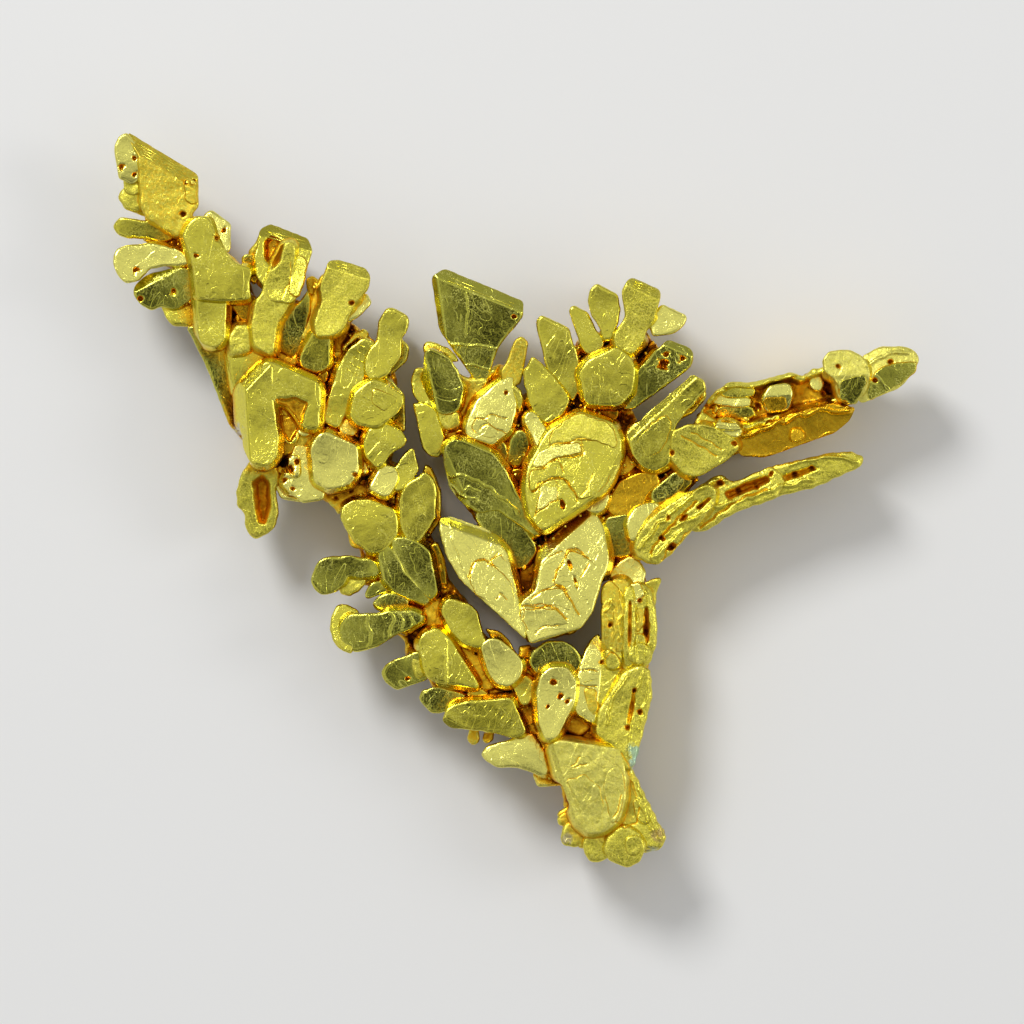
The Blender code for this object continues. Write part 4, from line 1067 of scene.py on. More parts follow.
crystal("web_low", 4.95, 3.2, LEVEL, "424,604 440,598 448,625 440,638 426,628")
crystal("ferrule", 5.6, 3.4, LEVEL, "411,657 418,654 425,676 418,681")
crystal("strap_a", 5.15, 3.0, LEVEL, "446,640 462,646 482,648 486,662 494,690 480,688 462,660")
crystal("strap_b", 4.85, 3.0, LEVEL, "438,682 470,689 502,690 510,700 486,702 458,694")
crystal("strap_c", 5.05, 3.0, LEVEL, "518,646 532,644 528,662 534,682 520,682")
crystal("amber_patch", 5.05, 3.0, LEVEL, "510,700 530,703 541,716 540,736 524,732")
crystal("plough_strap", 5.25, 3.2, LEVEL, "534,738 550,740 560,768 568,786 553,778 543,758")
group = "centre"
crystal("cup_small", 5.4, 3.4, LEVEL, "438,410 456,412 460,424 451,430 441,426")
crystal("web_a", 4.95, 3.2, LEVEL, "452,424 466,422 474,442 462,446 446,442 442,430")
crystal("web_fan", 4.85, 3.2, LEVEL, "458,372 476,380 488,378 476,400 466,420 456,412")
crystal("book_side", 5.5, 3.4, TO_FOOT, "512,384 523,390 521,406 513,424 506,432")
crystal("book_foot", 5.6, 3.8, TO_CREST, "470,436 482,433 494,440 486,447 472,442")
crystal("strap_eyes", 5.05, 3.2, LEVEL, "528,426 536,446 531,470 524,492 514,498 518,474 528,450")
crystal("eye_side", 5.3, 3.2, TO_FOOT, "508,498 518,492 524,506 520,516 512,508")
crystal("slot_web", 4.95, 3.0, LEVEL, "520,570 534,556 544,548 538,580 526,600 519,590")
group = "foot"
crystal("dome_web", 5.05, 3.0, LEVEL, "574,664 584,652 586,690 592,726 580,736 566,730 574,700")
crystal("column_web", 4.95, 3.0, LEVEL, "592,722 602,712 604,742 596,748 580,744")
crystal("lump_f", 5.9, 3.0, LEVEL, "596,832 606,826 616,828 618,838 606,843 598,841")
crystal("lump_g", 5.7, 3.0, TO_CREST, "616,822 628,812 638,818 638,830 626,832 617,831")
crystal("lump_h", 5.5, 3.0, LEVEL, "576,838 586,833 592,842 588,850 578,849")
crystal("lump_i", 6.1, 3.4, LEVEL, "606,852 616,846 622,854 618,865 608,861")
crystal("lump_j", 6.3, 3.4, LEVEL, "626,838 638,836 644,846 638,856 627,852")
crystal("lump_k", 5.4, 3.2, LEVEL, "556,818 566,810 572,818 568,828 558,826")
crystal("lump_l", 5.9, 3.0, LEVEL, "634,800 644,796 652,812 648,824 638,820")
crystal("column_rib", 6.5, 3.4, LEVEL, "626,586 632,586 634,620 632,664 626,668 624,640")
crystal("column_bead", 6.4, 4.2, LEVEL, "630,648 642,644 652,650 650,660 638,664 630,660")
crystal("column_bead_low", 6.2, 4.2, LEVEL, "606,650 616,646 622,656 618,668 608,668")
group = "arms"
crystal("sliver_a", 5.15, 4.0, TO_CREST, "706,400 722,394 744,397 753,402 744,406 722,404")
crystal("sliver_b", 5.3, 4.0, LEVEL, "718,391 734,384 752,386 756,393 744,396 726,396")
crystal("sliver_c", 5.05, 4.0, TO_FOOT, "718,408 744,406 756,411 752,416 728,419 716,414")
crystal("sliver_d", 5.0, 4.0, LEVEL, "696,414 708,408 716,412 712,419 698,420")
crystal("trough_shard", 5.15, 4.0, TO_CREST, "811,377 820,375 824,383 819,390 812,386")
crystal("keel_bead", 5.8, 4.5, LEVEL, "792,432 797,429 803,433 803,440 797,443 792,440")
group = "left"
crystal("tip_root", 5.2, 4.2, LEVEL, "124,178 138,176 142,190 132,194 122,190")
print(len(CRYSTALS), "crystals with the small ones")

# %% [markdown]
# Neighbouring crystals nearly touch, and their sides run together in narrow grooves. So a crystal may
# spread a little past its outline, but only where gold lies beside it and not over the edge of the
# specimen. The room is read from a map of the whole outline: one step further from the edge for each
# cell.

# %% Room around a crystal
CELL = 0.155  # millimetres
MAP_HALF = (26, 24)  # millimetres from the middle of the map to its edges
MAP_SIZE = tuple(int(2 * half / CELL) for half in MAP_HALF)
FULL_ROOM = 0.5  # millimetres over which the room grows from none to all


def cell_of(points):
    """The cell of the map that each point lies in."""
    at = ((points[:, :2] + MAP_HALF) / CELL).astype(int)
    return np.clip(at[:, 0], 0, MAP_SIZE[0] - 1), np.clip(at[:, 1], 0, MAP_SIZE[1] - 1)


across, up = np.meshgrid(np.arange(MAP_SIZE[0]), np.arange(MAP_SIZE[1]), indexing="ij")
cell_middles = np.column_stack([across.ravel(), up.ravel()]) * CELL - MAP_HALF + CELL / 2
gold_here = np.zeros(len(cell_middles), bool)
for row in BEDS + CRYSTALS:
    corners = sheet(row[-1])
    near = ((cell_middles > corners.min(axis=0)) & (cell_middles < corners.max(axis=0))).all(axis=1)
    gold_here[near] |= inside(cell_middles[near], corners)
gold_here = gold_here.reshape(MAP_SIZE)
room_map = np.zeros(MAP_SIZE)
for _ in range(5):
    room_map += gold_here * CELL
    smaller = gold_here.copy()
    for axis in (0, 1):
        smaller &= np.roll(gold_here, 1, axis) & np.roll(gold_here, -1, axis)
    gold_here = smaller


def spread_out(ring):
    """The ring moved out where there is room, and the room at each point from 0 to 1."""
    outward = outward_of(ring)
    room = np.clip((room_map[cell_of(ring + 0.2 * outward)] - 0.15) / FULL_ROOM, 0, 1)
    for _ in range(4):
        room = (np.roll(room, 1) + room + np.roll(room, -1)) / 3
    return ring + outward * (SPREAD * room)[:, None], room


print("cells with gold:", int((room_map > 0).sum()))

# %% Grow the beds and the crystals
for row in BEDS:
    grown_bed(*row)
for row in CRYSTALS:
    grown(*row)
print(len(BEDS), "beds and", len(CRYSTALS), "crystals")

# %% [markdown]
# Growth steps are the marks that read best on the large faces: a second face, a tenth of a millimetre
# higher, with a rim of its own. A thin plate on the crystal gives a crisp edge that catches the light
# from any side.

# %% Growth steps
plate("shell", 0.05, (-0.03, -0.04),
      "530,470 545,469 552,461 566,459 583,456 584,443 598,442 611,449 617,457 611,473 604,487 590,497 "
      "579,501 575,492 568,482 561,477 552,479 540,484 536,491 529,490")
plate("shell", 0.08, (0.03, -0.06),
      "537,453 548,448 560,445 572,443 580,441 582,453 566,456 552,459 546,466 536,469 "
      "532,464", "bright")
plate("shell", 0.09, (0.0, 0.0),
      "549,437 556,428 568,418 580,413 592,417 604,421 613,428 617,439 615,450 608,446 598,441 586,440 "
      "572,441 560,444 550,447", "matte")
plate("shell", 0.04, (-0.03, -0.06), "540,486 556,481 560,497 548,505 535,515 537,500", "bright")
plate("wing_left", 0.05, (0.0, 0.05),
      "473,590 470,578 471,566 476,560 486,560 496,567 507,577 512,584 515,602 517,618 506,613 494,606 "
      "482,598")
plate("wing_left", 0.05, (-0.05, 0.05), "500,553 508,562 512,581 504,573 490,562")
plate("wing_right", 0.06, (-0.04, 0.05),
      "553,583 558,570 565,559 568,552 575,551 583,555 590,560 600,567 597,580 589,598 580,612 575,605 "
      "570,594 563,586")
plate("wing_right", 0.06, (0.0, 0.07),
      "530,598 545,590 556,587 563,590 568,600 572,611 566,611 560,606 545,604 528,605")
plate("wing_right", 0.07, (0.0, 0.07),
      "520,610 536,608 558,610 564,618 571,623 560,627 546,625 536,631 525,630 521,621")
plate("tip_blade", 0.10, (0.02, 0.02), "184,177 196,180 197,203 190,205 184,198")
plate("crest_one", 0.14, (0.0, -0.05), "291,258 300,254 308,262 304,284 298,298 291,296 288,275")
plate("book", 0.09, (-0.02, 0.04), "470,428 478,416 491,424 500,432 494,439 480,436")
plate("broad_leaf", 0.07, (0.03, 0.02), "636,440 652,424 668,414 672,428 660,452 646,458")
plate("foot_plate", 0.07, (0.02, 0.0),
      "607,771 619,764 625,778 624,798 618,818 611,824 607,806 602,786", "pale")
plate("foot_plate", 0.04, (0.0, 0.03), "566,780 584,774 600,786 604,806 600,824 586,827")
plate("blade_left", 0.03, (0.0, 0.04), "584,688 596,690 598,708 594,718 586,706", "straw")
plate("arm_knuckle", -0.20, (0.0, 0.29),
      "840,380 852,377 864,374 868,380 862,392 856,404 843,404 838,392", "mirror")
plate("arm_tip", -0.05, (-0.12, 0.28),
      "874,374 884,367 894,363 908,362 918,362 915,372 905,381 890,391 878,397 868,400 866,393 "
      "870,382", "mirror")
plate("arm_bump", -0.08, (0.0, 0.32), "765,398 775,397 787,397 788,405 782,411 770,412 764,407", "amber")
plate("column_right", 0.05, (0.10, 0.05), "628,584 640,582 645,592 641,604 631,606 627,596", "bright")
plate("column_right", 0.06, (-0.08, -0.06), "630,610 642,607 646,618 642,630 632,632 628,622", "straw")
plate("column_right", 0.05, (0.08, 0.08), "631,634 643,633 647,644 640,654 631,650", "rough")
plate("column_left", 0.04, (0.06, 0.05), "601,586 612,580 620,590 619,606 610,616 602,606", "straw")
plate("kite_upper", 0.05, (0.02, 0.0), "372,388 396,396 398,402 384,412 372,404")
print(len(SHELLS), "shells,", sum(len(s[3]) for s in SHELLS), "faces")

# %% [markdown]
# Gold at the bottom of a gap is painted more orange and darker: partly painted bounce light, as light
# bounces between yellow walls, partly painted shade, and partly grime that stays there. To know how deep a
# point lies, all the faces are drawn into one coarse height map, which is blurred. A point that is lower
# than the blurred map around it is in a hollow.

# %% A height map of the front
BLUR = 5  # cells
tops = np.full(MAP_SIZE, -1.0)  # the highest point in each cell
for _, _, points, _, _ in SHELLS:
    np.maximum.at(tops, cell_of(points), points[:, 2])


def blurred(values):
    """The mean over a square of cells, by running sums."""
    for axis in (0, 1):
        margins = [(BLUR + 1, BLUR) if k == axis else (0, 0) for k in (0, 1)]
        total = np.cumsum(np.pad(values, margins, "edge"), axis)
        ahead = np.take(total, range(2 * BLUR + 1, total.shape[axis]), axis)
        behind = np.take(total, range(0, total.shape[axis] - 2 * BLUR - 1), axis)
        values = (ahead - behind) / (2 * BLUR + 1)
    return values


cover = np.maximum(blurred(blurred((tops > 0).astype(float))), 1e-3)
mean_top = blurred(blurred(np.where(tops > 0, tops, 0.0))) / cover
print("the mean front height is", round(float(mean_top[tops > 0].mean()), 2), "mm")


# This depth sets the painted shade of the gaps.
def depth_at(points):
    """How far each point lies below the front around it: 0 on top, 1 from 1.4 mm down."""
    crowd = np.clip(room_map[cell_of(points)] / 0.4, 0.22, 1)
    return np.clip((mean_top[cell_of(points)] - points[:, 2] - 0.1) / 1.3, 0, 1) * crowd


# %% [markdown]
# The materials come next, because the pieces take them as they are made. Three shader groups are shared
# by all of them: fine speckles, the thin wandering lines and low terraces that growth leaves on a face,
# and the grain of native gold, which is a low swell with a fine roughness on it. They only put out masks
# and heights.

# %% Shader helpers
def put(tree, kind, settings=(), **sockets):
    """A node with its settings, and its sockets filled by a value or linked to another node's socket."""
    node = tree.nodes.new(kind)
    for name, value in dict(settings).items():
        setattr(node, name, value)
    for name, value in sockets.items():
        key = int(name[1:]) if name[0] == "i" and name[1:].isdigit() else name.replace("_", " ")
        socket = node.inputs[key]
        if isinstance(value, bpy.types.NodeSocket):
            tree.links.new(value, socket)
        else:
            socket.default_value = value
    return node


def maths(tree, operation, a, b=0.0, c=0.0, clamp=False):
    """The result of a sum on up to three values."""
    node = put(tree, "ShaderNodeMath", {"operation": operation, "use_clamp": clamp}, i0=a, i1=b, i2=c)
    return node.outputs[0]


def span(tree, value, low, high, to_low=0.0, to_high=1.0):
    """A value from one range taken to another, smoothly and no further."""
    node = put(tree, "ShaderNodeMapRange", {"interpolation_type": "SMOOTHSTEP"}, Value=value, i1=low,
               i2=high, i3=to_low, i4=to_high)
    return node.outputs[0]


def blend(tree, share, first, second):
    """Two colours mixed by a share."""
    node = put(tree, "ShaderNodeMix", {"data_type": "RGBA", "clamp_factor": True}, i0=share, i6=first,
               i7=second)
    return node.outputs[2]


def noise(tree, where, scale, detail=3.0, roughness=0.55):
    """Soft noise; the scale is in hills a millimetre."""
    node = put(tree, "ShaderNodeTexNoise", Vector=where, Scale=scale, Detail=detail, Roughness=roughness)
    return node.outputs[0]


def in_millimetres(tree, turn=0.0, stretch=(1.0, 1.0, 1.0)):
    """The object's coordinates in millimetres, turned about Z and stretched."""
    where = put(tree, "ShaderNodeTexCoord").outputs["Object"]
    scale = tuple(share / METRES for share in stretch)
    return put(tree, "ShaderNodeMapping", Vector=where, Rotation=(0.0, 0.0, turn), Scale=scale).outputs[0]


def shader_group(name, inputs, outputs):
    """A shader group with named inputs and outputs, all of them plain values."""
    tree = bpy.data.node_groups.new(name, "ShaderNodeTree")
    for title, value in inputs.items():
        socket = tree.interface.new_socket(title, in_out="INPUT", socket_type="NodeSocketFloat")
        socket.default_value = value
    for title in outputs:
        tree.interface.new_socket(title, in_out="OUTPUT", socket_type="NodeSocketFloat")
    return tree, tree.nodes.new("NodeGroupInput").outputs, tree.nodes.new("NodeGroupOutput")


# %% Speckles
MICRON = 0.000001  # metres, for the heights that the groups put out
SPECKLE, given, out = shader_group("speckles", {"Fineness": 1.0}, ("Mask", "Height"))
patches = noise(SPECKLE, in_millimetres(SPECKLE), 0.7, 2.0)
fine = put(SPECKLE, "ShaderNodeTexNoise", Vector=in_millimetres(SPECKLE), Detail=4.0, Roughness=0.65,
           Scale=maths(SPECKLE, "MULTIPLY", given["Fineness"], 8.0)).outputs[0]
dots = maths(SPECKLE, "MULTIPLY", span(SPECKLE, fine, 0.50, 0.66), span(SPECKLE, patches, 0.40, 0.62))
SPECKLE.links.new(dots, out.inputs["Mask"])
SPECKLE.links.new(maths(SPECKLE, "MULTIPLY", dots, 2 * MICRON), out.inputs["Height"])

# %% Growth lines and terraces
GROWTH, given, out = shader_group("growth lines and terraces", {"Lines": 1.0}, ("Lines", "Height"))
slow = put(GROWTH, "ShaderNodeTexNoise", Vector=in_millimetres(GROWTH, 0.6, (1.0, 0.62, 1.0)), Scale=0.36,
           Detail=3.0, Roughness=0.55, Distortion=1.3).outputs[0]
steps = maths(GROWTH, "MULTIPLY", slow, 7.0)
within = maths(GROWTH, "FRACT", steps)
edge = maths(GROWTH, "ABSOLUTE", maths(GROWTH, "SUBTRACT", within, 0.5))
patches = noise(GROWTH, in_millimetres(GROWTH), 0.45, 2.0)
line = maths(GROWTH, "MULTIPLY", span(GROWTH, edge, 0.455, 0.495), span(GROWTH, patches, 0.46, 0.62))
quick = put(GROWTH, "ShaderNodeTexNoise", Vector=in_millimetres(GROWTH, 2.1), Scale=1.1, Detail=4.0,
            Roughness=0.6, Distortion=0.6).outputs[0]
thread = span(GROWTH, maths(GROWTH, "ABSOLUTE", maths(GROWTH, "SUBTRACT", quick, 0.5)), 0.010, 0.003)
thread = maths(GROWTH, "MULTIPLY", thread, span(GROWTH, patches, 0.54, 0.40))
line = maths(GROWTH, "MAXIMUM", line, maths(GROWTH, "MULTIPLY", thread, 0.45))
line = maths(GROWTH, "MULTIPLY", line, given["Lines"])
tread = maths(GROWTH, "ADD", maths(GROWTH, "FLOOR", steps), span(GROWTH, within, 0.90, 1.0))
GROWTH.links.new(line, out.inputs["Lines"])
ridges = maths(GROWTH, "MULTIPLY", line, 3 * MICRON)
GROWTH.links.new(maths(GROWTH, "MULTIPLY_ADD", tread, 10 * MICRON, ridges), out.inputs["Height"])

# %% Grain of native gold
GRAIN_GROUP, given, out = shader_group("grain", {"Swell": 1.0, "Fine": 1.0}, ("Height", "Tint"))
low = noise(GRAIN_GROUP, in_millimetres(GRAIN_GROUP), 1.6, 2.0)
middle_noise = noise(GRAIN_GROUP, in_millimetres(GRAIN_GROUP), 5.0, 3.0)
high = noise(GRAIN_GROUP, in_millimetres(GRAIN_GROUP), 16.0, 4.0, 0.65)
hills = maths(GRAIN_GROUP, "MULTIPLY", middle_noise, 6 * MICRON)
hills = maths(GRAIN_GROUP, "MULTIPLY_ADD", low, 10 * MICRON, hills)
hills = maths(GRAIN_GROUP, "MULTIPLY", hills, given["Swell"])
crumbs = maths(GRAIN_GROUP, "MULTIPLY", high, 3.5 * MICRON)
crumbs = maths(GRAIN_GROUP, "MULTIPLY", crumbs, given["Fine"])
GRAIN_GROUP.links.new(maths(GRAIN_GROUP, "ADD", hills, crumbs), out.inputs["Height"])
GRAIN_GROUP.links.new(middle_noise, out.inputs["Tint"])
print("shader groups:", SPECKLE.name, GROWTH.name, "and", GRAIN_GROUP.name)

# %% [markdown]
# Gold has no colour of its own beside what it reflects, so the base colour is nearly the whole look, and
# light and shade are painted into it: lemon yellow on the faces, darker or paler as a painted reflection, a
# warmer yellow as a painted highlight on the rims, and orange in the hollows as painted bounce light and
# shade, partly grime. The masks that were stored on the points say where each is, and how bright a face's
# painted reflection is.

# %% Colours of gold
# The first three face colours are painted reflections, from the dark round the camera through mid to light.
DARK_REFLECTION_FACE = (0.60, 0.59, 0.080, 1.0)
MID_REFLECTION_FACE = (0.79, 0.715, 0.075, 1.0)
# The rim colour is a painted highlight on the rounded rims.
BRIGHT_REFLECTION_FACE = (0.93, 0.87, 0.20, 1.0)
RIM_HIGHLIGHT = (0.98, 0.78, 0.14, 1.0)
SPECK = (0.92, 0.88, 0.28, 1.0)
MOTTLED = (0.38, 0.30, 0.05, 1.0)
# The hollow colours are painted bounce light and painted shade, darker with depth, partly grime.
HOLLOW_SHADE_AND_GRIME = [  # where a colour of the hollows sets in, where it is full, and the colour
    (0.08, 0.45, (0.86, 0.52, 0.022, 1.0)),
    (0.40, 0.80, (0.50, 0.18, 0.004, 1.0)),
    (0.74, 1.04, (0.17, 0.045, 0.002, 1.0)),
]
STAINS = [  # the middle on the grid, the radius in grid steps, and the colour
    ((637, 752), 9, (0.34, 0.56, 0.40, 1.0)),
    ((636, 764), 6, (0.40, 0.58, 0.44, 1.0)),
    ((654, 851), 4, (0.52, 0.58, 0.46, 1.0)),
    ((236, 432), 8, (0.62, 0.58, 0.46, 1.0)),
    ((566, 838), 4, (0.50, 0.43, 0.26, 1.0)),
    ((658, 834), 6, (0.46, 0.32, 0.12, 1.0)),
]


def stain_mask(tree, place, radius):
    """A mask round a place on the grid, with a ragged edge."""
    x, y = sheet([place])[0]
    where = in_millimetres(tree)
    shift = put(tree, "ShaderNodeVectorMath", {"operation": "SUBTRACT"}, i0=where, i1=(x, y, 0.0)).outputs[0]
    flat = put(tree, "ShaderNodeVectorMath", {"operation": "MULTIPLY"}, i0=shift, i1=(1.0, 1.0, 0.0))
    away = put(tree, "ShaderNodeVectorMath", {"operation": "LENGTH"}, i0=flat.outputs[0])
    ragged = noise(tree, in_millimetres(tree), 2.2)
    ragged = maths(tree, "MULTIPLY_ADD", ragged, 1.4, away.outputs["Value"])
    return span(tree, ragged, radius * STEP + 0.85, radius * STEP + 0.45, 0.0, 0.8)


def face_colour(tree, painted_reflection, tint, mottles, marks):
    """The colour of a face: by the brightness of its painted reflection, with mottles, and with paler marks.
    """
    shade = maths(tree, "MULTIPLY_ADD", maths(tree, "SUBTRACT", tint, 0.5), 0.6, painted_reflection, clamp=True)
    low = blend(tree, span(tree, shade, 0.0, 0.5), DARK_REFLECTION_FACE, MID_REFLECTION_FACE)
    face = blend(tree, span(tree, shade, 0.5, 1.0), low, BRIGHT_REFLECTION_FACE)
    return blend(tree, marks, blend(tree, mottles, face, MOTTLED), SPECK)


def highlight_shade_and_stain_colour(tree, face, rim, sunk, tint):
    """The face's colour with the painted highlight of the rims, the painted bounce light and shade of the
    hollows, partly grime, and the stains laid over it.
    """
    # The rims get a painted highlight, and the hollows painted bounce light and shade.
    face = blend(tree, maths(tree, "MULTIPLY", rim, 0.45), face, RIM_HIGHLIGHT)
    warm = maths(tree, "MULTIPLY_ADD", maths(tree, "SUBTRACT", tint, 0.5), 0.5, sunk)
    for low, high, colour in HOLLOW_SHADE_AND_GRIME:
        face = blend(tree, span(tree, warm, low, high), face, colour)
    for place, radius, colour in STAINS:
        face = blend(tree, stain_mask(tree, place, radius), face, colour)
    return face


print(len(HOLLOW_SHADE_AND_GRIME), "colours of the hollows and", len(STAINS), "stains")

# %% Two kinds of gold
MOTTLE_DEPTH = -8 * MICRON


def gold(name, polish, coarse, fine, lines, mottle):
    """Native gold: the roughness of a mirror face, and how strong its grain, lines and mottles are."""
    made = bpy.data.materials.new(name)
    made.use_nodes = True
    tree = made.node_tree
    shader = tree.nodes["Principled BSDF"]
    rim, sunk, painted_reflection = (put(tree, "ShaderNodeAttribute", {"attribute_name": mask}).outputs["Fac"]
                        for mask in ("rim", "sunk", "painted_reflection"))
    grain = put(tree, "ShaderNodeGroup", {"node_tree": GRAIN_GROUP}, Swell=coarse, Fine=fine).outputs
    speckle = put(tree, "ShaderNodeGroup", {"node_tree": SPECKLE}, Fineness=1.3).outputs
    growth = put(tree, "ShaderNodeGroup", {"node_tree": GROWTH}, Lines=lines).outputs
    mottles = span(tree, noise(tree, in_millimetres(tree), 8.0, 4.0, 0.72), 0.49, 0.60)
    # How dark the painted reflection makes a face; the pale marks show most there.
    painted_darkness = maths(tree, "SUBTRACT", 1.0, painted_reflection, clamp=True)
    marks = maths(tree, "MAXIMUM", speckle["Mask"], maths(tree, "MULTIPLY", growth["Lines"], 0.6))
    marks = maths(tree, "MULTIPLY", marks, maths(tree, "MULTIPLY_ADD", painted_darkness, 0.42, 0.14))

    face = face_colour(tree, painted_reflection, grain["Tint"], maths(tree, "MULTIPLY", mottles, mottle), marks)
    tree.links.new(highlight_shade_and_stain_colour(tree, face, rim, sunk, grain["Tint"]), shader.inputs["Base Color"])

    rough = maths(tree, "MULTIPLY_ADD", painted_reflection, 0.10, polish)
    for mask, share in ((marks, 0.75), (mottles, 0.3 * mottle), (sunk, 0.12), (grain["Tint"], 0.06)):
        rough = maths(tree, "MULTIPLY_ADD", mask, share, rough)
    tree.links.new(rough, shader.inputs["Roughness"])

    height = maths(tree, "ADD", grain["Height"], speckle["Height"])
    height = maths(tree, "ADD", height, growth["Height"])
    height = maths(tree, "MULTIPLY_ADD", mottles, MOTTLE_DEPTH * mottle, height)
    bump = put(tree, "ShaderNodeBump", Strength=1.0, Distance=1.0, Height=height)
    tree.links.new(bump.outputs[0], shader.inputs["Normal"])
    shader.inputs["Metallic"].default_value = 1.0
    return made


CRYSTAL_GOLD = gold("crystal gold", 0.05, 0.35, 0.10, 1.0, 0.2)
ROUGH_GOLD = gold("rough gold", 0.18, 1.5, 0.7, 0.4, 0.55)
print("materials:", CRYSTAL_GOLD.name, "and", ROUGH_GOLD.name)

# %% [markdown]
# The shells of one branch become one mesh. Its points carry the masks as attributes, which stay with the
# surface whatever is done to it later. Beds and rough, matte, straw and pale crystals take the coarser
# gold, the others the polished one.

# %% Pieces
def joined(name, shells):
    """One mesh object from closed shells, in metres, with the masks and a material for each shell."""
    points = np.vstack([shell_points for _, _, shell_points, _, _ in shells])
    faces, coarse, start = [], [], 0
    for _, title, shell_points, shell_faces, _ in shells:
        faces += [[int(i) + start for i in face] for face in shell_faces]
        coarse += [int(finish_of(title) in COARSE_FINISHES)] * len(shell_faces)
        start += len(shell_points)
    mesh = bpy.data.meshes.new(name)
    mesh.from_pydata((points * METRES).tolist(), [], faces)
    for mask in ("rim", "sunk", "painted_reflection"):
        values = np.concatenate([masks[mask] for _, _, _, _, masks in shells])
        # Painted shade deepens with the depth below the surrounding front, most where other crystals crowd.
        if mask == "sunk":
            walled = np.concatenate([masks["walled"] for _, _, _, _, masks in shells])
            values = np.maximum(values, depth_at(points) * (0.12 + 0.88 * walled))
        mesh.attributes.new(mask, "FLOAT", "POINT").data.foreach_set("value", values.astype(np.float32))
    for material in (CRYSTAL_GOLD, ROUGH_GOLD):
        mesh.materials.append(material)
    mesh.polygons.foreach_set("material_index", coarse)
    mesh.shade_smooth()
    mesh.update()
    made = bpy.data.objects.new(name, mesh)
    bpy.context.scene.collection.objects.link(made)
    print(name, len(shells), "shells,", sum(len(face) - 2 for face in faces), "triangles")
    return made


MOST_TRIANGLES = 150000


def parted(name, shells):
    """The shells as one object, or as more where one would have too many triangles."""
    made, batch, count = [], [], 0
    for item in shells:
        size = sum(len(face) - 2 for face in item[3])
        if batch and count + size > MOST_TRIANGLES:
            made.append(joined(f"{name}_{len(made) + 1}", batch))
            batch, count = [], 0
        batch.append(item)
        count += size
    return made + [joined(f"{name}_{len(made) + 1}", batch)]


PIECES = []
for title in ("beds", "left", "lower_left", "centre", "arms", "foot"):
    PIECES += parted(title, [item for item in SHELLS if item[0] == title])

# %% [markdown]
# Between the large crystals the gaps are filled with small ones that had no room to grow: leaflets with
# rounded edges and a fine crust. They follow a rule, so Geometry Nodes place them. Points are scattered
# over the low parts that aren't a face, and each carries one crystal, turned and sized at random. A tree
# ends with real geometry and its material.

# %% A tree of nodes for Geometry Nodes
def geometry_group(name, inputs):
    """A Geometry Nodes tree that takes and gives geometry, with named inputs."""
    tree = bpy.data.node_groups.new(name, "GeometryNodeTree")
    tree.interface.new_socket("Geometry", in_out="INPUT", socket_type="NodeSocketGeometry")
    for title, (kind, value) in inputs.items():
        socket = tree.interface.new_socket(title, in_out="INPUT", socket_type=f"NodeSocket{kind}")
        socket.default_value = value
    tree.interface.new_socket("Geometry", in_out="OUTPUT", socket_type="NodeSocketGeometry")
    return tree, tree.nodes.new("NodeGroupInput").outputs, tree.nodes.new("NodeGroupOutput")


def baked(name, source, tree, values):
    """The plain mesh that a tree makes of a source mesh."""
    holder = bpy.data.objects.new(name, source)
    bpy.context.scene.collection.objects.link(holder)
    modifier = holder.modifiers.new("grow", "NODES")
    modifier.node_group = tree
    for item in tree.interface.items_tree:
        if item.item_type == "SOCKET" and item.in_out == "INPUT" and item.name in values:
            modifier[item.identifier] = values[item.name]
    graph = bpy.context.evaluated_depsgraph_get()
    mesh = bpy.data.meshes.new_from_object(holder.evaluated_get(graph))
    bpy.data.objects.remove(holder)
    return mesh


def dressed(name, mesh, rim, painted_reflection):
    """A plain mesh as an object, with the masks that the gold reads: a painted rim highlight, a painted
    reflection, and painted shade by depth.
    """
    count = len(mesh.vertices)
    where = np.empty(count * 3, np.float32)
    mesh.vertices.foreach_get("co", where)
    values = {"rim": np.full(count, rim), "painted_reflection": np.full(count, painted_reflection),
              "sunk": depth_at(where.reshape(-1, 3) / METRES)}
    for mask, value in values.items():
        mesh.attributes.new(mask, "FLOAT", "POINT").data.foreach_set("value", value.astype(np.float32))
    made = bpy.data.objects.new(name, mesh)
    bpy.context.scene.collection.objects.link(made)
    print(name, len(mesh.polygons), "faces")
    return made


# %% Leaflets and crust
FULL_TURN = 6.28


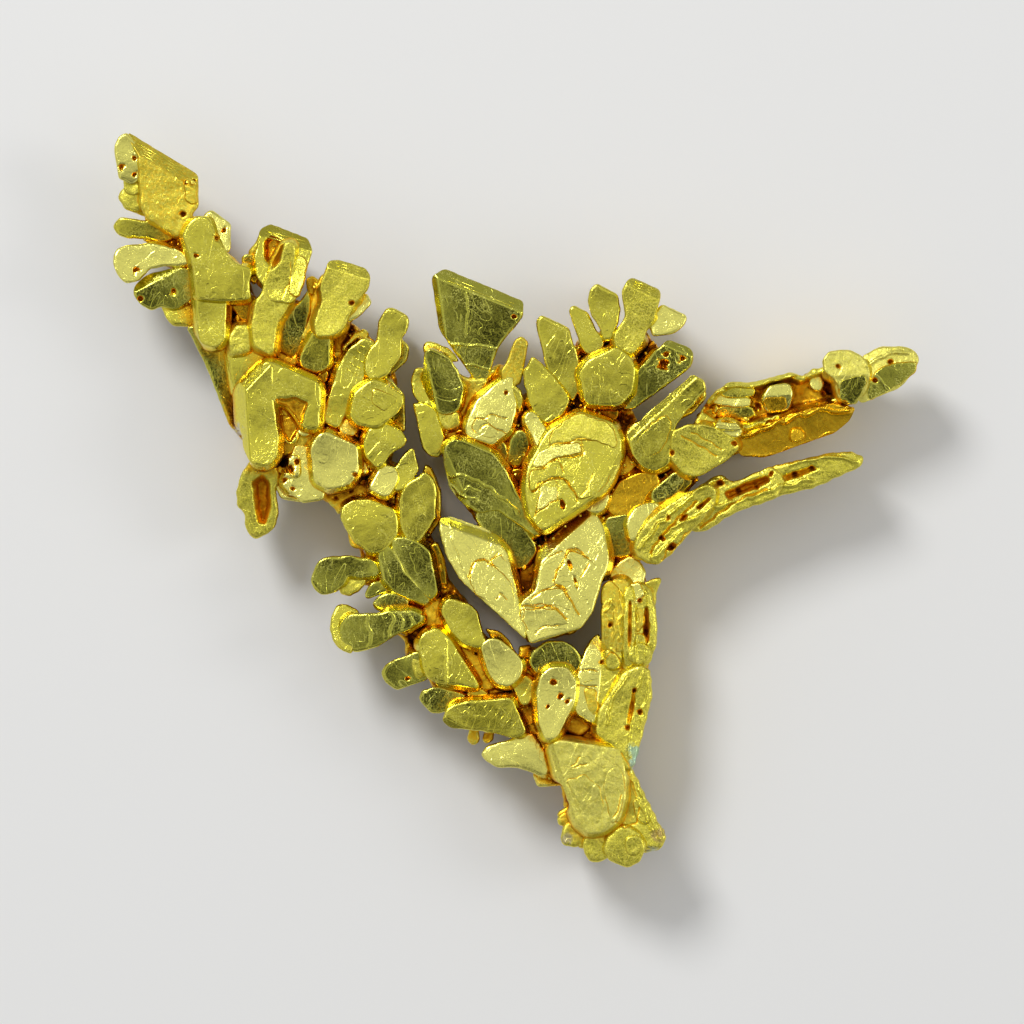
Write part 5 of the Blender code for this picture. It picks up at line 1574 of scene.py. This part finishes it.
def scattering(name, shape_of):
    """A tree that covers a surface with small crystals; shape_of builds one crystal in the tree."""
    tree, given, out = geometry_group(name, {
        "Density": ("Float", 2.0e6), "Apart": ("Float", 0.0003), "Smallest": ("Float", 0.0001),
        "Largest": ("Float", 0.0003), "Tilt": ("Float", 0.4), "Seed": ("Int", 3)})
    scatter = put(tree, "GeometryNodeDistributePointsOnFaces", {"distribute_method": "POISSON"},
                  Mesh=given["Geometry"], Seed=given["Seed"],
                  Distance_Min=given["Apart"], Density_Max=given["Density"])
    size = put(tree, "FunctionNodeRandomValue", {"data_type": "FLOAT"}, i2=given["Smallest"],
               i3=given["Largest"], Seed=given["Seed"])
    tilt = given["Tilt"]
    low_tilt = maths(tree, "MULTIPLY", tilt, -1.0)
    lowest = put(tree, "ShaderNodeCombineXYZ", X=low_tilt, Y=low_tilt, Z=0.0).outputs[0]
    highest = put(tree, "ShaderNodeCombineXYZ", X=tilt, Y=tilt, Z=FULL_TURN).outputs[0]
    turn = put(tree, "FunctionNodeRandomValue", {"data_type": "FLOAT_VECTOR"}, i0=lowest, i1=highest,
               Seed=5)
    placed = put(tree, "GeometryNodeInstanceOnPoints", Points=scatter.outputs["Points"],
                 Instance=shape_of(tree), Rotation=turn.outputs[0], Scale=size.outputs[1])
    real = put(tree, "GeometryNodeRealizeInstances", Geometry=placed.outputs[0])
    coated = put(tree, "GeometryNodeSetMaterial", Geometry=real.outputs[0], Material=CRYSTAL_GOLD)
    tree.links.new(coated.outputs[0], out.inputs[0])
    return tree


def leaflet(tree):
    """A long six-sided tablet with soft edges, one unit in radius."""
    block = put(tree, "GeometryNodeMeshCylinder", {"fill_type": "TRIANGLE_FAN"}, Vertices=6, Radius=1.0,
                Depth=0.55)
    long = put(tree, "GeometryNodeTransform", Geometry=block.outputs["Mesh"], Scale=(1.0, 0.62, 1.0))
    soft = put(tree, "GeometryNodeSubdivisionSurface", Mesh=long.outputs[0], Level=1, Edge_Crease=0.62)
    return put(tree, "GeometryNodeSetShadeSmooth", Geometry=soft.outputs[0]).outputs[0]


def crumb(tree):
    """A blunt grain, one unit in radius."""
    return put(tree, "GeometryNodeMeshIcoSphere", Radius=1.0, Subdivisions=1).outputs["Mesh"]


LEAFLETS = scattering("leaflets", leaflet)
CRUST = scattering("crust", crumb)
NEAR_FRONT = 0.05  # how far a face may lie below the top of its cell and still be seen there
LOWEST_FLOOR = 2.5  # millimetres; below that a cell shows the edge of the specimen

on_a_face = np.zeros(MAP_SIZE, bool)
for points in FRONTS:
    across, up = cell_of(points)
    shown = points[:, 2] > tops[across, up] - NEAR_FRONT
    on_a_face[across[shown], up[shown]] = True


def gap_floor(depth, rise):
    """What lies deeper than its surroundings and isn't a face, as one square a cell."""
    free = (room_map > 0.2) & (tops > LOWEST_FLOOR) & (mean_top - tops > depth) & ~on_a_face
    corners, squares = [], []
    for across, up in np.argwhere(free):
        x, y = across * CELL - MAP_HALF[0], up * CELL - MAP_HALF[1]
        z = tops[across, up] + rise
        squares.append(list(range(len(corners), len(corners) + 4)))
        corners += [(x, y, z), (x + CELL, y, z), (x + CELL, y + CELL, z), (x, y + CELL, z)]
    mesh = bpy.data.meshes.new("gap floor")
    mesh.from_pydata((np.array(corners) * METRES).tolist(), [], squares)
    print(len(squares), "free cells")
    return mesh


leaflet_mesh = baked("leaflets", gap_floor(0.6, 0.0), LEAFLETS, {
    "Density": 3.0e6, "Apart": 0.0007, "Smallest": 0.00014, "Largest": 0.00036, "Tilt": 0.5, "Seed": 3})
PIECES.append(dressed("leaflets", leaflet_mesh, 0.1, 0.6))
crust_mesh = baked("crust", gap_floor(0.35, -0.03), CRUST, {
    "Density": 9.0e6, "Apart": 0.00030, "Smallest": 0.00005, "Largest": 0.00012, "Tilt": 3.1, "Seed": 8})
PIECES.append(dressed("crust", crust_mesh, 0.1, 0.6))

# %% [markdown]
# Some bevels carry fine bands, side by side like the steps of a stair. Each set is a row of thin rods
# sunk into the face, so one small tree makes a set from its first place, its step and its count.

# %% Bands
BANDS, given, out = geometry_group("bands", {
    "Count": ("Int", 5), "First": ("Vector", (0, 0, 0)), "Step": ("Vector", (0, 0, 0)),
    "Turn": ("Vector", (0, 0, 0)), "Length": ("Float", 0.001), "Thickness": ("Float", 0.00005)})
row = put(BANDS, "GeometryNodeMeshLine", {"mode": "OFFSET"}, Count=given["Count"],
          Start_Location=given["First"], Offset=given["Step"])
rod = put(BANDS, "GeometryNodeMeshCylinder", Vertices=8, Radius=given["Thickness"],
          Depth=given["Length"])
placed = put(BANDS, "GeometryNodeInstanceOnPoints", Points=row.outputs["Mesh"], Instance=rod.outputs["Mesh"],
             Rotation=given["Turn"])
real = put(BANDS, "GeometryNodeRealizeInstances", Geometry=placed.outputs[0])
smooth = put(BANDS, "GeometryNodeSetShadeSmooth", Geometry=real.outputs[0])
coated = put(BANDS, "GeometryNodeSetMaterial", Geometry=smooth.outputs[0], Material=CRYSTAL_GOLD)
BANDS.links.new(coated.outputs[0], out.inputs[0])

BAND_RADIUS = 0.034  # millimetres
BAND_SUNK = 0.016  # how far the middle of a band lies below the face
# The crystal, the middles of the first and the last band, how many there are, and their length on the grid.
BAND_SETS = [
    ("crest_two", (349.8, 266.5), (348.2, 272), 3, 30),
    ("crest_one", (285.3, 236), (283.8, 241.5), 3, 40),
    ("crest_one", (302, 262), (297, 290), 6, 11),
    ("strut", (366, 348), (352, 372), 5, 13),
    ("tip_blade", (160.2, 156.2), (156.2, 163), 4, 54),
    ("ploughshare", (484, 708), (512, 727), 6, 14),
    ("crown_blade", (482.9, 287.3), (480.4, 293.4), 3, 70),
    ("lobe_e", (645.4, 286), (643.4, 290.5), 3, 22),
    ("blade_left", (584, 664), (590, 690), 4, 9),
]


def surface(parent, points):
    """The height of a crystal's face with its bevels."""
    return FACES[parent][1](points) - bevelled(points, BEVELS.get(parent, []))


for number, (parent, first, last, count, length) in enumerate(BAND_SETS):
    a, b = sheet([first, last])
    step = (b - a) / (count - 1)
    across = np.array((-step[1], step[0])) / np.hypot(*step) * length * STEP / 2
    ends = surface(parent, np.array([a - across, a + across, b]))
    along = Vector((*(2 * across), ends[1] - ends[0]))
    low = (ends[0] + ends[1]) / 2
    bands_mesh = baked(f"bands_{number}", bpy.data.meshes.new("band source"), BANDS, {
        "Count": count, "First": (a[0] * METRES, a[1] * METRES, (low - BAND_SUNK) * METRES),
        "Step": (step[0] * METRES, step[1] * METRES, (ends[2] - low) / (count - 1) * METRES),
        "Turn": tuple(along.to_track_quat("Z", "Y").to_euler()), "Length": along.length * METRES,
        "Thickness": BAND_RADIUS * METRES})
    PIECES.append(dressed(f"bands_{number}_{parent}", bands_mesh, 0.1, 0.5))

# %% [markdown]
# Every piece stands for the one solid and moves with it.

# %% Tie the pieces to the solid
for piece in PIECES:
    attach(piece, "root")
    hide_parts("nugget")
print(len(PIECES), "pieces stand for the solid")

# %% [markdown]
# The floor is a plain pale sheet. Gold shows what is around it, so the light is a tent: bright all round,
# with a softly dark opening where the camera looks in. Level faces show the edge of that opening and come
# out olive, faces that lean to the foot show its dark middle, and rims and faces that lean to the crest
# show the bright tent.

# %% Floor
FLOOR = 0.6  # metres
floor_mesh = bpy.data.meshes.new("floor")
floor_mesh.from_pydata([(-FLOOR, -FLOOR, 0), (FLOOR, -FLOOR, 0), (FLOOR, FLOOR, 0), (-FLOOR, FLOOR, 0)], [],
                       [(0, 1, 2, 3)])
floor = bpy.data.objects.new("floor", floor_mesh)
bpy.context.scene.collection.objects.link(floor)
paper = bpy.data.materials.new("pale floor")
paper.use_nodes = True
paper.node_tree.nodes["Principled BSDF"].inputs["Base Color"].default_value = (0.80, 0.80, 0.79, 1.0)
paper.node_tree.nodes["Principled BSDF"].inputs["Roughness"].default_value = 0.8
floor_mesh.materials.append(paper)

# %% Light tent
OPENING = Vector((0.05, -0.30, 1.0)).normalized()  # the middle of the dark opening
WIDEST = 120.0  # degrees that the ramp covers
TENT = [  # angle from the opening's middle in degrees, and brightness
    (0, 0.03), (6, 0.06), (12, 0.19), (17, 0.36), (23, 0.58), (32, 0.72), (60, 0.54), (90, 0.32)]
world = bpy.data.worlds.new("light tent")
world.use_nodes = True
bpy.context.scene.world = world
tree = world.node_tree
heading = put(tree, "ShaderNodeTexCoord").outputs["Generated"]
cosine = put(tree, "ShaderNodeVectorMath", {"operation": "DOT_PRODUCT"}, i0=heading, i1=tuple(OPENING))
folds = put(tree, "ShaderNodeTexNoise", Vector=heading, Scale=6.0, Detail=2.0).outputs[0]
angle = maths(tree, "MULTIPLY", maths(tree, "ARCCOSINE", cosine.outputs["Value"]), 1.0 / np.radians(WIDEST))
folds = maths(tree, "MULTIPLY", maths(tree, "SUBTRACT", folds, 0.5), 0.16)
angle = maths(tree, "ADD", angle, folds, clamp=True)
ramp_node = put(tree, "ShaderNodeValToRGB", Fac=angle)
for number, (degrees, brightness) in enumerate(TENT):
    at = degrees / WIDEST
    stops = ramp_node.color_ramp.elements
    stop = stops[number] if number < 2 else stops.new(at)
    stop.position = at
    stop.color = (brightness, brightness, brightness, 1.0)
low_foot = put(tree, "ShaderNodeVectorMath", {"operation": "DOT_PRODUCT"}, i0=heading, i1=(0.0, -1.0, 0.0))
shaded = span(tree, low_foot.outputs["Value"], 0.5, 0.85, 1.0, 0.3)
tree.links.new(shaded, tree.nodes["Background"].inputs["Strength"])
tree.links.new(ramp_node.outputs[0], tree.nodes["Background"].inputs["Color"])

# %% Key lights
def area_light(name, place, size, power):
    """A round light at a place in metres, turned to the nugget."""
    data = bpy.data.lights.new(name, "AREA")
    data.shape = "DISK"
    data.size = size
    data.energy = power
    lamp = bpy.data.objects.new(name, data)
    lamp.location = place
    lamp.rotation_euler = (-Vector(place)).to_track_quat("-Z", "Y").to_euler()
    bpy.context.scene.collection.objects.link(lamp)


area_light("key", (-0.24, 0.34, 0.42), 0.20, 1.9)
area_light("side", (0.42, 0.05, 0.30), 0.18, 0.35)
print("tent and lights ready")

# %% [markdown]
# The specimen lies on its back, so the camera looks straight down on it. A long lens keeps the faces
# square, as in the photograph, and the frame is the photograph's: its 1024 steps are the grid steps of
# the outlines.

# %% Camera
FRAME_STEPS = 1024
FACE_LEVEL = 5.8  # millimetres, where the frame is measured
DISTANCE = 0.6  # metres from that level
SENSOR = 36.0  # millimetres
camera_data = bpy.data.cameras.new("camera")
camera_data.sensor_width = SENSOR
camera_data.lens = SENSOR * DISTANCE / (FRAME_STEPS * STEP * METRES)
camera = bpy.data.objects.new("camera", camera_data)
middle = sheet([(FRAME_STEPS / 2, FRAME_STEPS / 2)])[0] * METRES
camera.location = (middle[0], middle[1], FACE_LEVEL * METRES + DISTANCE)
bpy.context.scene.collection.objects.link(camera)
bpy.context.scene.camera = camera
bpy.context.scene.view_settings.view_transform = "Standard"
print("lens", round(camera_data.lens), "mm")
